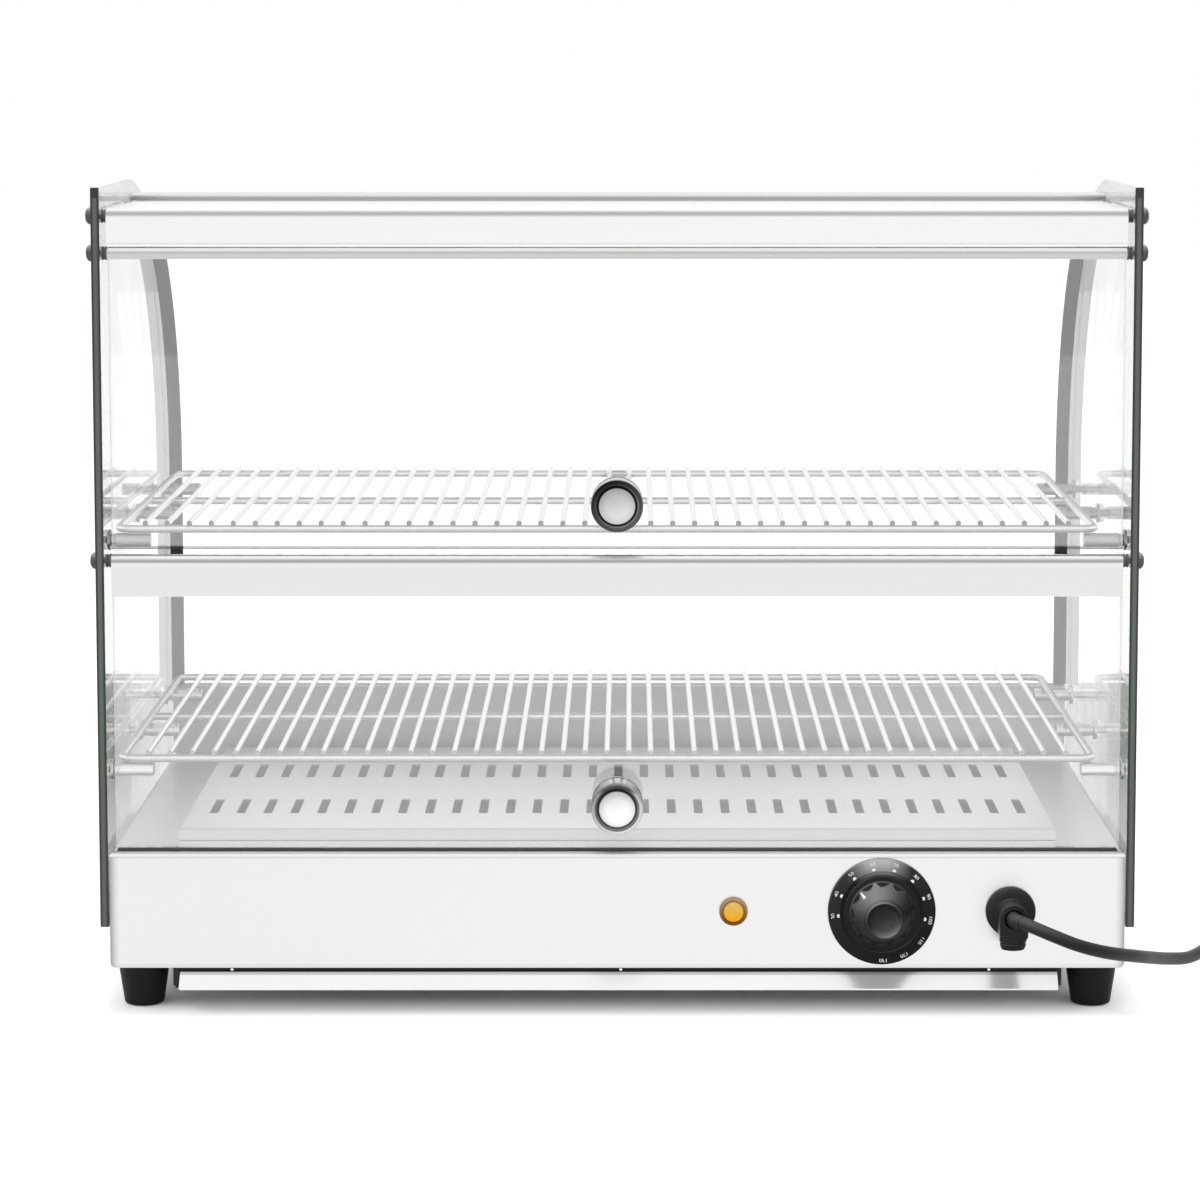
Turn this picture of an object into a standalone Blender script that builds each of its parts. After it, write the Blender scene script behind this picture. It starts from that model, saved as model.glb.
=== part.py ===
"""Heated display case: a two-shelf glass cabinet on a heated stainless base.

The operator stands on the -Y side, where two glass flaps open upwards and outwards.
The customer's side is +Y, closed by one curved glass. Sizes are in metres.
"""

import math

import bmesh
import bpy
from mathutils import Vector

# Driving sizes of the cabinet

CASE_WIDTH = 0.600
CASE_HEIGHT = 0.481
CASE_DEPTH = 0.320
SEAT_GAP = 0.0003
CUT_OVERRUN = 0.002
FUSE_SINK = 0.0004
WELD_DISTANCE = 0.00001

# Side glasses, standing from beside the base to above the roof

SIDE_GLASS = 0.005
SIDE_GLASS_FOOT = 0.0513
SIDE_GLASS_CORNER = 0.002
BOW_RADIUS = 0.198
BOW_STEPS = 12

# Folded stainless base

BASE_SIDE_AIR = 0.0006
BASE_SHEET = 0.0012
BASE_FOOT = 0.0277
BASE_TOP = 0.0964
BASE_FAR_SETBACK = 0.0065
BASE_CORNER = 0.0045
BASE_HEM = 0.003
HEAT_WINDOW_EDGE = 0.056
HEAT_WINDOW_FAR_EDGE = 0.050
HEAT_WINDOW_SIDE = 0.0594
GLASS_PAD_RADIUS = 0.007
GLASS_PAD_INSET = 0.040
GLASS_PAD_DROP = 0.020
FLOOR_WINDOW_SHRINK = 0.007

# Slotted cover over the heater

DECK_SIDE_INSET = 0.0375
DECK_NEAR = 0.030
DECK_FAR_SETBACK = 0.0295
DECK_RISE = 0.007
DECK_SHEET = 0.0012
DECK_CORNER = 0.0025
DECK_EDGE = 0.0010
SLOT_COUNT = 31
SLOT_EDGE = 0.01555
SLOT_WIDTH = 0.0053
SLOT_LENGTH_SHARE = 0.1634
SLOT_ROW_SHARES = (0.2520, 0.6850)

# Heater tube on notched strips inside the base

HEATER_RADIUS = 0.004
HEATER_BEND_SHARE = 0.1276
HEATER_NEAR_RUN_SHARE = 0.3764
HEATER_REACH_SHARE = 0.851
HEATER_LIFT = 0.060
HEATER_BEND_STEPS = 8
STRIP_SHEET = 0.0012
STRIP_PLACE_SHARE = 0.638
NOTCH_STEPS = 8
BLOCK_SIZE = (0.044, 0.017, 0.014)

# Rubber feet

FOOT_TOP_RADIUS = 0.0150
FOOT_RIM = 0.004
FOOT_BOTTOM_RADIUS = 0.0112
FOOT_ROUND = 0.0012
FOOT_INSET_X = 0.0151
FOOT_INSET_Y = 0.030

# Curved customer glass, its seals, its channel and its top rail

BOW_GLASS = 0.004
BOW_GLASS_INSET = 0.012
BOW_GLASS_END_AIR = 0.0026
BOW_GLASS_SIT = 0.0078
BOW_GLASS_START_DEG = 6.0
SEAL_WIDTH = 0.0077
SEAL_WEB = 0.0020
SEAL_WALL = 0.0012
SEAL_START_DEG = 10.0
CHANNEL_HEIGHT = 0.0451
CHANNEL_FAR_INSET = 0.020
CHANNEL_SHEET = 0.0012
CHANNEL_SLOT_DEPTH = 0.0083
CHANNEL_END_AIR = 0.001
RAIL_OVER_ROOF = 0.008
RAIL_WIDTH = 0.022
RAIL_HEIGHT = 0.0040
RAIL_EDGE = 0.0010

# Roof plate with its folded header

ROOF_SHEET = 0.0012
ROOF_DROP = 0.013
ROOF_OVERHANG = 0.016
ROOF_BEND = 0.003
HEADER_SETBACK = 0.002
HEADER_LIP = 0.0075
END_GAP = 0.0035
END_BLOCK = (0.006, 0.011, 0.015)
HEADER_BOLT_DEPTH = 0.0075
HEADER_BOLT_DROP = 0.0170

# Pivot pins and bolts through the side glasses

PIN_RADIUS = 0.0020
PIN_HEAD_RADIUS = 0.0050
PIN_HEAD_HEIGHT = 0.0040
PIN_DOME_SHARE = 0.72
PIN_COLLAR_RADIUS = 0.0040
PIN_GRIP = 0.010
PIN_STEPS = 10

# Glass flaps

DOOR_DEPTH = 0.008
DOOR_GLASS = 0.004
UPPER_PIVOT_DROP = 0.0383
LOWER_PIVOT_SHARE = 0.43916
DOOR_CLEARANCE_UPPER = 0.0032
DOOR_CLEARANCE_LOWER = 0.0011
BARREL_RADIUS = 0.0037
RAIL_LEG = 0.0030
UPPER_RAIL_DROP = 0.0033
LOWER_RAIL_DROP = 0.0206
NOTCH_LENGTH = 0.012
DOOR_GLASS_SEAT = 0.0003
BARREL_STEPS = 10

# Door knobs

KNOB_RISE_UPPER = 0.0278
KNOB_RISE_LOWER = 0.0275
KNOB_RADIUS = 0.0150
KNOB_REACH = 0.0260
KNOB_EDGE = 0.0008
KNOB_NECK = 0.0035
KNOB_WASHER_RADIUS = 0.0090
KNOB_WASHER = 0.0022
CAP_DISC = 0.0040
CAP_BOSS_RADIUS = 0.0100
CAP_RISE = 0.0010
CAP_SPIGOT_RADIUS = 0.0080
CAP_SPIGOT = 0.0050
KNOB_STEPS = 16

# Wire shelves and their pegs

SHELF_SIDE_AIR = 0.010
SHELF_SHIFT = -0.006
SHELF_NEAR = 0.015
SHELF_FAR_SETBACK = 0.025
SHELF_FRAME_RADIUS = 0.0023
SHELF_CORNER = 0.008
SHELF_CORNER_STEPS = 2
SHELF_WIRE_RADIUS = 0.0015
SHELF_WIRE_COUNT = 43
SHELF_WIRE_EDGE = 0.016
SHELF_WIRE_SIDES = 5
WIRE_WELD = 0.0004
CROSS_BAR_DROP = 0.00075
PEG_HEIGHT_UPPER_SHARE = 0.46750
PEG_HEIGHT_LOWER_SHARE = 0.11778
PEG_NEAR_INSET = 0.002
PEG_PLACE_SHARES = (0, 0.446, 0.888)
PEG_RADIUS = 0.004
PEG_REACH = 0.025
PEG_WASHER_RADIUS = 0.006
PEG_WASHER = 0.002
PEG_STEM_RADIUS = 0.0022
PEG_HEAD_RADIUS = 0.0050
PEG_HEAD = 0.0012
PEG_STEPS = 8

# Crumb tray and its runners

TRAY_SIDE_INSET = 0.0395
TRAY_FAR_SETBACK = 0.0275
TRAY_LIP = 0.0095
TRAY_FLOOR = 0.0165
TRAY_SHEET = 0.0010
TRAY_TOP_AIR = 0.0024
RUNNER_SHEET = 0.0012
RUNNER_LEDGE = 0.007
RUNNER_NEAR = 0.003
RUNNER_FAR_SETBACK = 0.0235

# Controls on the near face of the base

CONTROL_HEIGHT = 0.0612
DIAL_PLACE_SHARE = 0.52106
DIAL_RADIUS = 0.0312
DIAL_PLATE = 0.0024
DIAL_CHAMFER = 0.0010
SPINDLE_RADIUS = 0.0030
SPINDLE_SEAT = 0.014
KNOB_SKIRT_RADIUS = 0.0222
KNOB_SKIRT = 0.0035
KNOB_FLARE_RADIUS = 0.0185
KNOB_GRIP_RADIUS = 0.01125
KNOB_GRIP_LENGTH = 0.0080
DIAL_REACH = 0.0260
DIAL_KNOB_EDGE = 0.0008
SCALLOP_COUNT = 6
SCALLOP_RADIUS = 0.0080
SCALLOP_PLACE = 0.0245
DIAL_POINTER_DEG = 134.6
DIAL_STEPS = 20
THERMOSTAT_SIZE = (0.036, 0.028, 0.036)
LAMP_PLACE_SHARE = 0.22895
LAMP_RADIUS = 0.0082
LAMP_FLANGE = 0.0022
LAMP_BORE = 0.0062
LAMP_WALL = 0.0012
LAMP_BODY = 0.018
LAMP_DOME = 0.0018
LAMP_STEPS = 12

# Cord gland and clamp

GLAND_PLACE_SHARE = 0.77480
GLAND_FLANGE_RADIUS = 0.0145
GLAND_FLANGE = 0.0030
GLAND_NECK_RADIUS = 0.0080
GLAND_BOSS = 0.0085
GLAND_NUT_RADIUS = 0.0115
GLAND_NUT = 0.0050
GLAND_STEPS = 14
CLAMP_HALF_WIDTH = 0.0082
CLAMP_DEPTH = 0.0130
CLAMP_DROP = 0.0118
CLAMP_MOUTH = 0.0056
CLAMP_BARREL_RADIUS = 0.0078
CLAMP_BARREL_TIP = 0.0062
CLAMP_BARREL = 0.0070
CLAMP_STEPS = 12

# Mains cord, whose route is chosen by hand: first beside the gland, then beside the case

CORD_RADIUS = 0.00375
CORD_SPACING = 0.0150
CORD_BY_GLAND = (
    (0.0, -0.0250, 0.0612),
    (0.0064, -0.0345, 0.0612),
    (0.0199, -0.0400, 0.0565),
)
CORD_BY_CASE = (
    (-0.0360, -0.0370, 0.0497),
    (-0.0180, -0.0235, 0.0424),
    (0.0014, 0.0035, 0.0338),
    (0.0162, 0.0370, 0.0245),
    (0.0310, 0.0710, 0.0155),
    (0.0475, 0.1040, 0.0080),
    (0.0620, 0.1340, 0.0055),
    (0.0710, 0.1620, 0.0054),
)
COIL_LIFT = 0.0017
COIL_RADIUS = 0.0505
COIL_PITCH = 0.0082
COIL_TURNS = 4.5
COIL_LOOP_POINTS = 24
COIL_START_OUT = 0.0745
COIL_START_DEPTH = 0.1860
TIE_BAND = 0.0010
TIE_WIDTH = 0.010
TIE_AIR = 0.0004
TIE_SIDE_AIR = 0.0011
TIE_ANGLE_DEG = 100.0
TIE_CORNER = 0.004
PLUG_RADIUS = 0.0180
PLUG_HEIGHT = 0.0270
PLUG_WAIST_SHARE = 0.86
PLUG_FLOOR_AIR = 0.0002
PLUG_EDGE = 0.0025
PLUG_FACE_SINK = 0.0020
PLUG_SLEEVE = 0.030
PLUG_SLEEVE_RADIUS = 0.0062
PLUG_SLEEVE_TIP = 0.0047
PLUG_PIN_RADIUS = 0.0024
PLUG_PIN = 0.0190
PLUG_PIN_SPACING = 0.0190
PLUG_STEPS = 20

# Sizes worked out from the ones above

INNER_HALF = CASE_WIDTH / 2 - SIDE_GLASS
END_HALF = INNER_HALF - END_GAP
NEAREST = DIAL_REACH
DATUM_SHIFT = (NEAREST - CASE_DEPTH) / 2
BASE_HALF = INNER_HALF - BASE_SIDE_AIR
BASE_DEPTH = CASE_DEPTH - BASE_FAR_SETBACK
ROOF_TOP = CASE_HEIGHT - ROOF_DROP
BOW_CENTRE_Y = CASE_DEPTH - BOW_RADIUS
BOW_CENTRE_Z = CASE_HEIGHT - BOW_RADIUS
BOW_GLASS_OUTER = BOW_RADIUS - BOW_GLASS_INSET
BOW_GLASS_INNER = BOW_GLASS_OUTER - BOW_GLASS
CABINET_ROOM = CASE_HEIGHT - BASE_TOP
SHELF_FAR = CASE_DEPTH - SHELF_FAR_SETBACK
SHELF_DEPTH = SHELF_FAR - SHELF_NEAR
UPPER_PIVOT = CASE_HEIGHT - UPPER_PIVOT_DROP
LOWER_PIVOT = BASE_TOP + CABINET_ROOM * LOWER_PIVOT_SHARE
UPPER_DOOR_FOOT = LOWER_PIVOT + BARREL_RADIUS + DOOR_CLEARANCE_UPPER
LOWER_DOOR_FOOT = BASE_TOP + DOOR_CLEARANCE_LOWER
KNOB_HEIGHT_UPPER = UPPER_DOOR_FOOT + KNOB_RISE_UPPER
KNOB_HEIGHT_LOWER = LOWER_DOOR_FOOT + KNOB_RISE_LOWER
PEG_HEIGHT_UPPER = BASE_TOP + CABINET_ROOM * PEG_HEIGHT_UPPER_SHARE
PEG_HEIGHT_LOWER = BASE_TOP + CABINET_ROOM * PEG_HEIGHT_LOWER_SHARE
PEG_PLACES = [SHELF_NEAR + PEG_NEAR_INSET + SHELF_DEPTH * share for share in PEG_PLACE_SHARES]
DIAL_PLACE = BASE_HALF * DIAL_PLACE_SHARE
LAMP_PLACE = BASE_HALF * LAMP_PLACE_SHARE
GLAND_PLACE = BASE_HALF * GLAND_PLACE_SHARE
HEAT_WINDOW_HALF = BASE_HALF - HEAT_WINDOW_SIDE
HEAT_WINDOW_FAR = BASE_DEPTH - HEAT_WINDOW_FAR_EDGE
HEATER_BEND = BASE_DEPTH * HEATER_BEND_SHARE
HEATER_NEAR_RUN = BASE_DEPTH * HEATER_NEAR_RUN_SHARE
HEATER_REACH = HEAT_WINDOW_HALF * HEATER_REACH_SHARE
STRIP_PLACE = HEAT_WINDOW_HALF * STRIP_PLACE_SHARE
DECK_HALF_WIDTH = INNER_HALF - DECK_SIDE_INSET
DECK_FAR = BASE_DEPTH - DECK_FAR_SETBACK
DECK_DEPTH = DECK_FAR - DECK_NEAR
SLOT_PITCH = 2 * (DECK_HALF_WIDTH - SLOT_EDGE) / (SLOT_COUNT - 1)
SLOT_ROWS = [DECK_NEAR + DECK_DEPTH * share for share in SLOT_ROW_SHARES]
SLOT_LENGTH = DECK_DEPTH * SLOT_LENGTH_SHARE
SHELF_HALF = INNER_HALF - SHELF_SIDE_AIR - SHELF_FRAME_RADIUS
SHELF_WIRE_PITCH = 2 * (SHELF_HALF - SHELF_WIRE_EDGE) / (SHELF_WIRE_COUNT - 1)
CHANNEL_NEAR = CASE_DEPTH - CHANNEL_FAR_INSET
RAIL_NEAR = BOW_CENTRE_Y + RAIL_OVER_ROOF
RAIL_FAR = RAIL_NEAR + RAIL_WIDTH
ROOF_FAR = BOW_CENTRE_Y + ROOF_OVERHANG
TRAY_HALF_WIDTH = INNER_HALF - TRAY_SIDE_INSET
TRAY_FAR = BASE_DEPTH - TRAY_FAR_SETBACK
RUNNER_FAR = BASE_DEPTH - RUNNER_FAR_SETBACK
COIL_START = (CASE_WIDTH / 2 + COIL_START_OUT, COIL_START_DEPTH)
CHANNEL_FOOT = BASE_TOP + SEAT_GAP
CHANNEL_TOP = CHANNEL_FOOT + CHANNEL_HEIGHT
DECK_FOOT = BASE_TOP + SEAT_GAP
PIN_BORE = PIN_RADIUS + SEAT_GAP
DOOR_SLOT = DOOR_GLASS + 2 * SEAT_GAP
DIAL_FRONT = SEAT_GAP + DIAL_PLATE
KNOB_BACK = DIAL_FRONT + SEAT_GAP
CLAMP_BACK = GLAND_BOSS + SEAT_GAP
COIL_HEIGHT = CORD_RADIUS + COIL_LIFT
COIL_LAYER = COIL_PITCH

FINISHES = {
    "steel": ((0.78, 0.78, 0.77, 1.0), 0.28, 1.0),
    "chrome": ((0.83, 0.83, 0.82, 1.0), 0.12, 1.0),
    "glass": ((0.80, 0.88, 0.84, 0.25), 0.05, 0.0),
    "rubber": ((0.02, 0.02, 0.02, 1.0), 0.65, 0.0),
    "plastic": ((0.03, 0.03, 0.03, 1.0), 0.38, 0.0),
    "amber": ((0.90, 0.42, 0.05, 1.0), 0.20, 0.0),
    "ceramic": ((0.85, 0.83, 0.78, 1.0), 0.55, 0.0),
}

# Turns that lay a flat outline on a plane of the case

SIDE_ON = (math.radians(90), 0, math.radians(90))
FACE_ON = (math.radians(90), 0, 0)
FLAT = (0, 0, 0)
ALONG_X = (0, math.radians(90), 0)
TOWARDS_OPERATOR = (math.radians(90), 0, 0)
POINT_DOWN = (math.radians(-90), 0, 0)


# Scene, nodes and materials


def clear_scene():
    for old in list(bpy.data.objects):
        bpy.data.objects.remove(old)


def new_collection(name):
    collection = bpy.data.collections.new(name)
    bpy.context.scene.collection.children.link(collection)
    return collection


clear_scene()
CASE = new_collection("heated_display_case")
CUTTERS = new_collection("cutters")


def empty(name, location, parent=None):
    holder = bpy.data.objects.new(name, None)
    holder.location = location
    holder.parent = parent
    CASE.objects.link(holder)
    return holder


DATUM = empty("case_datum", (0, DATUM_SHIFT, 0))


def finished(node, finish, parent=None):
    """Give a node its own material and hang it on its parent."""
    colour, roughness, metallic = FINISHES[finish]
    material = bpy.data.materials.new(node.name)
    material.use_nodes = True
    shader = material.node_tree.nodes["Principled BSDF"]
    shader.inputs["Base Color"].default_value = colour
    shader.inputs["Alpha"].default_value = colour[3]
    shader.inputs["Roughness"].default_value = roughness
    shader.inputs["Metallic"].default_value = metallic
    node.data.materials.clear()
    node.data.materials.append(material)
    node.parent = parent or DATUM
    return node


def linked(name, data, location=(0, 0, 0), turn=FLAT):
    node = bpy.data.objects.new(name, data)
    node.location = location
    node.rotation_euler = turn
    CASE.objects.link(node)
    return node


def as_cutter(node, parent=None):
    CASE.objects.unlink(node)
    CUTTERS.objects.link(node)
    node.hide_render = True
    node.display_type = "WIRE"
    node.parent = parent or DATUM
    return node


def combine(node, other, operation, parent=None):
    change = node.modifiers.new(operation.title(), "BOOLEAN")
    change.operation = operation
    change.object = as_cutter(other, parent)


def cut(node, cutter, parent=None):
    combine(node, cutter, "DIFFERENCE", parent)


def fuse(node, piece, parent=None):
    combine(node, piece, "UNION", parent)


# Solids


def block(name, low, high):
    form = bmesh.new()
    bmesh.ops.create_cube(form, size=1)
    low, high = Vector(low), Vector(high)
    bmesh.ops.scale(form, vec=high - low, verts=form.verts)
    bmesh.ops.translate(form, vec=(low + high) / 2, verts=form.verts)
    mesh = bpy.data.meshes.new(name)
    form.to_mesh(mesh)
    form.free()
    return linked(name, mesh)


def rod(name, radius, length, steps, location, turn):
    form = bmesh.new()
    bmesh.ops.create_cone(
        form, cap_ends=True, segments=steps, radius1=radius, radius2=radius, depth=length
    )
    mesh = bpy.data.meshes.new(name)
    form.to_mesh(mesh)
    form.free()
    return linked(name, mesh, location, turn)


def joined(name, pieces):
    """One object that holds several separate solids, for use as a cutter or an operand."""
    form = bmesh.new()
    for piece in pieces:
        piece.data.transform(piece.matrix_basis)
        form.from_mesh(piece.data)
        bpy.data.objects.remove(piece)
    mesh = bpy.data.meshes.new(name)
    form.to_mesh(mesh)
    form.free()
    return linked(name, mesh)


def turned(name, profile, steps, location=(0, 0, 0), turn=FLAT, ring=False):
    """Turn a profile of (radius, height) round its own Z; it runs from top to bottom."""
    points = [(radius, 0, height) for radius, height in profile]
    edges = [(i, i + 1) for i in range(len(points) - 1)]
    if ring:
        edges.append((len(points) - 1, 0))
    mesh = bpy.data.meshes.new(name)
    mesh.from_pydata(points, edges, [])
    node = linked(name, mesh, location, turn)
    screw = node.modifiers.new("Turn", "SCREW")
    screw.axis = "Z"
    screw.steps = steps
    screw.render_steps = steps
    screw.use_merge_vertices = True
    screw.merge_threshold = WELD_DISTANCE
    screw.use_smooth_shade = False
    return node


def circle(centre, radius, steps):
    return [
        (
            centre[0] + radius * math.cos(math.tau * i / steps),
            centre[1] + radius * math.sin(math.tau * i / steps),
        )
        for i in range(steps)
    ]


def arc(centre, radius, start_deg, end_deg, steps):
    angles = [start_deg + (end_deg - start_deg) * i / steps for i in range(steps + 1)]
    return [
        (
            centre[0] + radius * math.cos(math.radians(a)),
            centre[1] + radius * math.sin(math.radians(a)),
        )
        for a in angles
    ]


def box_outline(low, high):
    return [low, (high[0], low[1]), high, (low[0], high[1])]


def plate(name, outlines, thickness, location=(0, 0, 0), turn=FLAT):
    """A flat plate of one outline, with any further outlines as holes."""
    curve = bpy.data.curves.new(name, "CURVE")
    curve.dimensions = "2D"
    curve.fill_mode = "BOTH"
    curve.extrude = thickness / 2
    for points in outlines:
        spline = curve.splines.new("POLY")
        spline.points.add(len(points) - 1)
        for point, (across, up) in zip(spline.points, points):
            point.co = (across, up, 0, 1)
        spline.use_cyclic_u = True
    return linked(name, curve, location, turn)


def tube(name, points, radius, resolution, closed=False, tilt=0):
    """A round bar or cord along 3D points."""
    curve = bpy.data.curves.new(name, "CURVE")
    curve.dimensions = "3D"
    curve.bevel_depth = radius
    curve.bevel_resolution = resolution
    curve.use_fill_caps = not closed
    curve.twist_mode = "Z_UP"
    spline = curve.splines.new("POLY")
    spline.points.add(len(points) - 1)
    for point, place in zip(spline.points, points):
        point.co = (*place, 1)
        point.tilt = tilt
    spline.use_cyclic_u = closed
    return linked(name, curve)


def as_mesh(curve_object):
    """Turn a curve object into a welded mesh object of the same name and place."""
    bpy.context.view_layer.update()
    graph = bpy.context.evaluated_depsgraph_get()
    mesh = bpy.data.meshes.new_from_object(curve_object.evaluated_get(graph))
    form = bmesh.new()
    form.from_mesh(mesh)
    bmesh.ops.remove_doubles(form, verts=form.verts, dist=WELD_DISTANCE)
    form.to_mesh(mesh)
    form.free()
    name = curve_object.name
    matrix = curve_object.matrix_world.copy()
    bpy.data.objects.remove(curve_object)
    solid = linked(name, mesh)
    solid.matrix_world = matrix
    return solid


def folded_shell(name, low, high, sheet, open_side, round_edges):
    """A box of sheet metal, open on one side, with its outer faces at the given corners.

    round_edges is a list of (test on an edge's two ends, radius, segments).
    """
    form = bmesh.new()
    bmesh.ops.create_cube(form, size=1)
    low, high = Vector(low), Vector(high)
    bmesh.ops.scale(form, vec=high - low, verts=form.verts)
    bmesh.ops.translate(form, vec=(low + high) / 2, verts=form.verts)
    lid = [face for face in form.faces if face.normal.z * open_side > abs(face.normal.x + face.normal.y)]
    bmesh.ops.delete(form, geom=lid, context="FACES_ONLY")
    for wanted, radius, segments in round_edges:
        edges = [edge for edge in form.edges if wanted(*(v.co for v in edge.verts))]
        bmesh.ops.bevel(
            form, geom=edges, offset=radius, segments=segments, profile=0.5, affect="EDGES"
        )
    mesh = bpy.data.meshes.new(name)
    form.to_mesh(mesh)
    form.free()
    node = linked(name, mesh)
    wall = node.modifiers.new("Sheet", "SOLIDIFY")
    wall.thickness = sheet
    wall.offset = -1
    wall.use_even_offset = True
    return node


def upright(a, b):
    return abs(a.z - b.z) > abs(a.x - b.x) + abs(a.y - b.y)


def level_at(height):
    return lambda a, b: max(abs(a.z - height), abs(b.z - height)) < SEAT_GAP


# Base


def base_housing():
    house = folded_shell(
        "base_housing",
        (-BASE_HALF, 0, BASE_FOOT),
        (BASE_HALF, BASE_DEPTH, BASE_TOP),
        BASE_SHEET,
        -1,
        [(upright, BASE_CORNER, 3), (level_at(BASE_TOP), BASE_HEM, 2)],
    )
    cut(
        house,
        block(
            "heat_window_cut",
            (-HEAT_WINDOW_HALF, HEAT_WINDOW_EDGE, BASE_TOP - BASE_SHEET - CUT_OVERRUN),
            (HEAT_WINDOW_HALF, HEAT_WINDOW_FAR, BASE_TOP + CUT_OVERRUN),
        ),
    )
    bores = (
        (DIAL_PLACE, SPINDLE_RADIUS + SEAT_GAP, PIN_STEPS),
        (LAMP_PLACE, LAMP_BORE + LAMP_WALL + SEAT_GAP, LAMP_STEPS),
        (GLAND_PLACE, GLAND_NECK_RADIUS + SEAT_GAP, GLAND_STEPS),
    )
    depth = BASE_SHEET + 2 * CUT_OVERRUN
    cutters = [
        rod("bore", radius, depth, steps, (x, BASE_SHEET / 2, CONTROL_HEIGHT), FACE_ON)
        for x, radius, steps in bores
    ]
    cut(house, joined("control_bores", cutters))
    pads = []
    reach = BASE_SIDE_AIR - SEAT_GAP + FUSE_SINK
    height = BASE_TOP - GLASS_PAD_DROP
    for side in (-1, 1):
        middle = side * (BASE_HALF - FUSE_SINK + reach / 2)
        for y in (GLASS_PAD_INSET, BASE_DEPTH - GLASS_PAD_INSET):
            pads.append(rod("pad", GLASS_PAD_RADIUS, reach, PIN_STEPS, (middle, y, height), ALONG_X))
    fuse(house, joined("glass_pads", pads))
    return finished(house, "steel")


def heater_strip_outline():
    """A strip on edge across the base, with a half-round notch for each run of the heater."""
    low = BASE_FOOT + BASE_SHEET - FUSE_SINK
    near = HEAT_WINDOW_EDGE + BASE_SHEET
    far = HEAT_WINDOW_FAR - BASE_SHEET
    points = [(near, low), (far, low), (far, HEATER_LIFT)]
    for y in (HEATER_NEAR_RUN + 2 * HEATER_BEND, HEATER_NEAR_RUN):
        points += arc((y, HEATER_LIFT), HEATER_RADIUS + SEAT_GAP, 0, -180, NOTCH_STEPS)
    return points + [(near, HEATER_LIFT)]


def base_floor():
    inside = BASE_HALF - BASE_SHEET - SEAT_GAP
    near = BASE_SHEET + SEAT_GAP
    far = BASE_DEPTH - BASE_SHEET - SEAT_GAP
    corner = BASE_CORNER
    outline = []
    for x, y, start in ((inside, far, 0), (-inside, far, 90), (-inside, near, 180), (inside, near, 270)):
        inward = (x - math.copysign(corner, x), y - corner if y > corner + near else y + corner)
        outline += arc(inward, corner, start, start + 90, 2)
    window = box_outline(
        (-HEAT_WINDOW_HALF, HEAT_WINDOW_EDGE + FLOOR_WINDOW_SHRINK),
        (HEAT_WINDOW_HALF, HEAT_WINDOW_FAR - FLOOR_WINDOW_SHRINK),
    )
    middle = BASE_FOOT + BASE_SHEET / 2
    floor = as_mesh(plate("base_floor", [outline, window], BASE_SHEET, (0, 0, middle)))
    for x in (-STRIP_PLACE, STRIP_PLACE):
        strip = as_mesh(plate("strip", [heater_strip_outline()], STRIP_SHEET, (x, 0, 0), SIDE_ON))
        fuse(floor, strip)
    return finished(floor, "steel")


def heater_element():
    near = HEATER_NEAR_RUN
    far = near + 2 * HEATER_BEND
    centre = (-HEATER_REACH, near + HEATER_BEND)
    bend = arc(centre, HEATER_BEND, 90, 270, HEATER_BEND_STEPS)
    flat = [(HEATER_REACH, far), *bend, (HEATER_REACH, near)]
    points = [(x, y, HEATER_LIFT) for x, y in flat]
    return finished(tube("heater_element", points, HEATER_RADIUS, 2), "steel")


def terminal_block():
    width, depth, height = BLOCK_SIZE
    low = BASE_FOOT + BASE_SHEET + SEAT_GAP
    middle = (LAMP_PLACE + DIAL_PLACE) / 2
    near = BASE_SHEET + SEAT_GAP + GLAND_NUT + THERMOSTAT_SIZE[1]
    body = block(
        "terminal_block",
        (middle - width / 2, near, low),
        (middle + width / 2, near + depth, low + height),
    )
    return finished(body, "ceramic")


def heater_deck():
    low = (-DECK_HALF_WIDTH, DECK_NEAR, DECK_FOOT)
    high = (DECK_HALF_WIDTH, DECK_FAR, DECK_FOOT + DECK_RISE)
    deck = folded_shell(
        "heater_deck",
        low,
        high,
        DECK_SHEET,
        -1,
        [(upright, DECK_CORNER, 2), (level_at(high[2]), DECK_EDGE, 1)],
    )
    slots = []
    for row in SLOT_ROWS:
        for i in range(SLOT_COUNT):
            x = (i - (SLOT_COUNT - 1) / 2) * SLOT_PITCH
            slots.append(
                block(
                    "slot",
                    (x - SLOT_WIDTH / 2, row - SLOT_LENGTH / 2, high[2] - DECK_SHEET - CUT_OVERRUN),
                    (x + SLOT_WIDTH / 2, row + SLOT_LENGTH / 2, high[2] + CUT_OVERRUN),
                )
            )
    cut(deck, joined("deck_slots", slots))
    return finished(deck, "steel")


def feet():
    top = BASE_FOOT - SEAT_GAP
    profile = [
        (0, top),
        (FOOT_TOP_RADIUS, top),
        (FOOT_TOP_RADIUS, top - FOOT_RIM),
        (FOOT_BOTTOM_RADIUS, FOOT_ROUND),
        (FOOT_BOTTOM_RADIUS - FOOT_ROUND, 0),
        (0, 0),
    ]
    names = {("near", -1): "foot_near_left", ("near", 1): "foot_near_right"}
    names.update({("far", -1): "foot_far_left", ("far", 1): "foot_far_right"})
    for (row, side), name in names.items():
        y = FOOT_INSET_Y if row == "near" else BASE_DEPTH - FOOT_INSET_Y
        place = (side * (BASE_HALF - FOOT_INSET_X), y, 0)
        finished(turned(name, profile, KNOB_STEPS, place), "rubber")


# Cabinet glass and its fittings


def pin_places():
    """Where pins pass through a side glass, as (depth, height)."""
    return [
        (HEADER_BOLT_DEPTH, CASE_HEIGHT - HEADER_BOLT_DROP),
        (DOOR_DEPTH, UPPER_PIVOT),
        (DOOR_DEPTH, LOWER_PIVOT),
    ]


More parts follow.
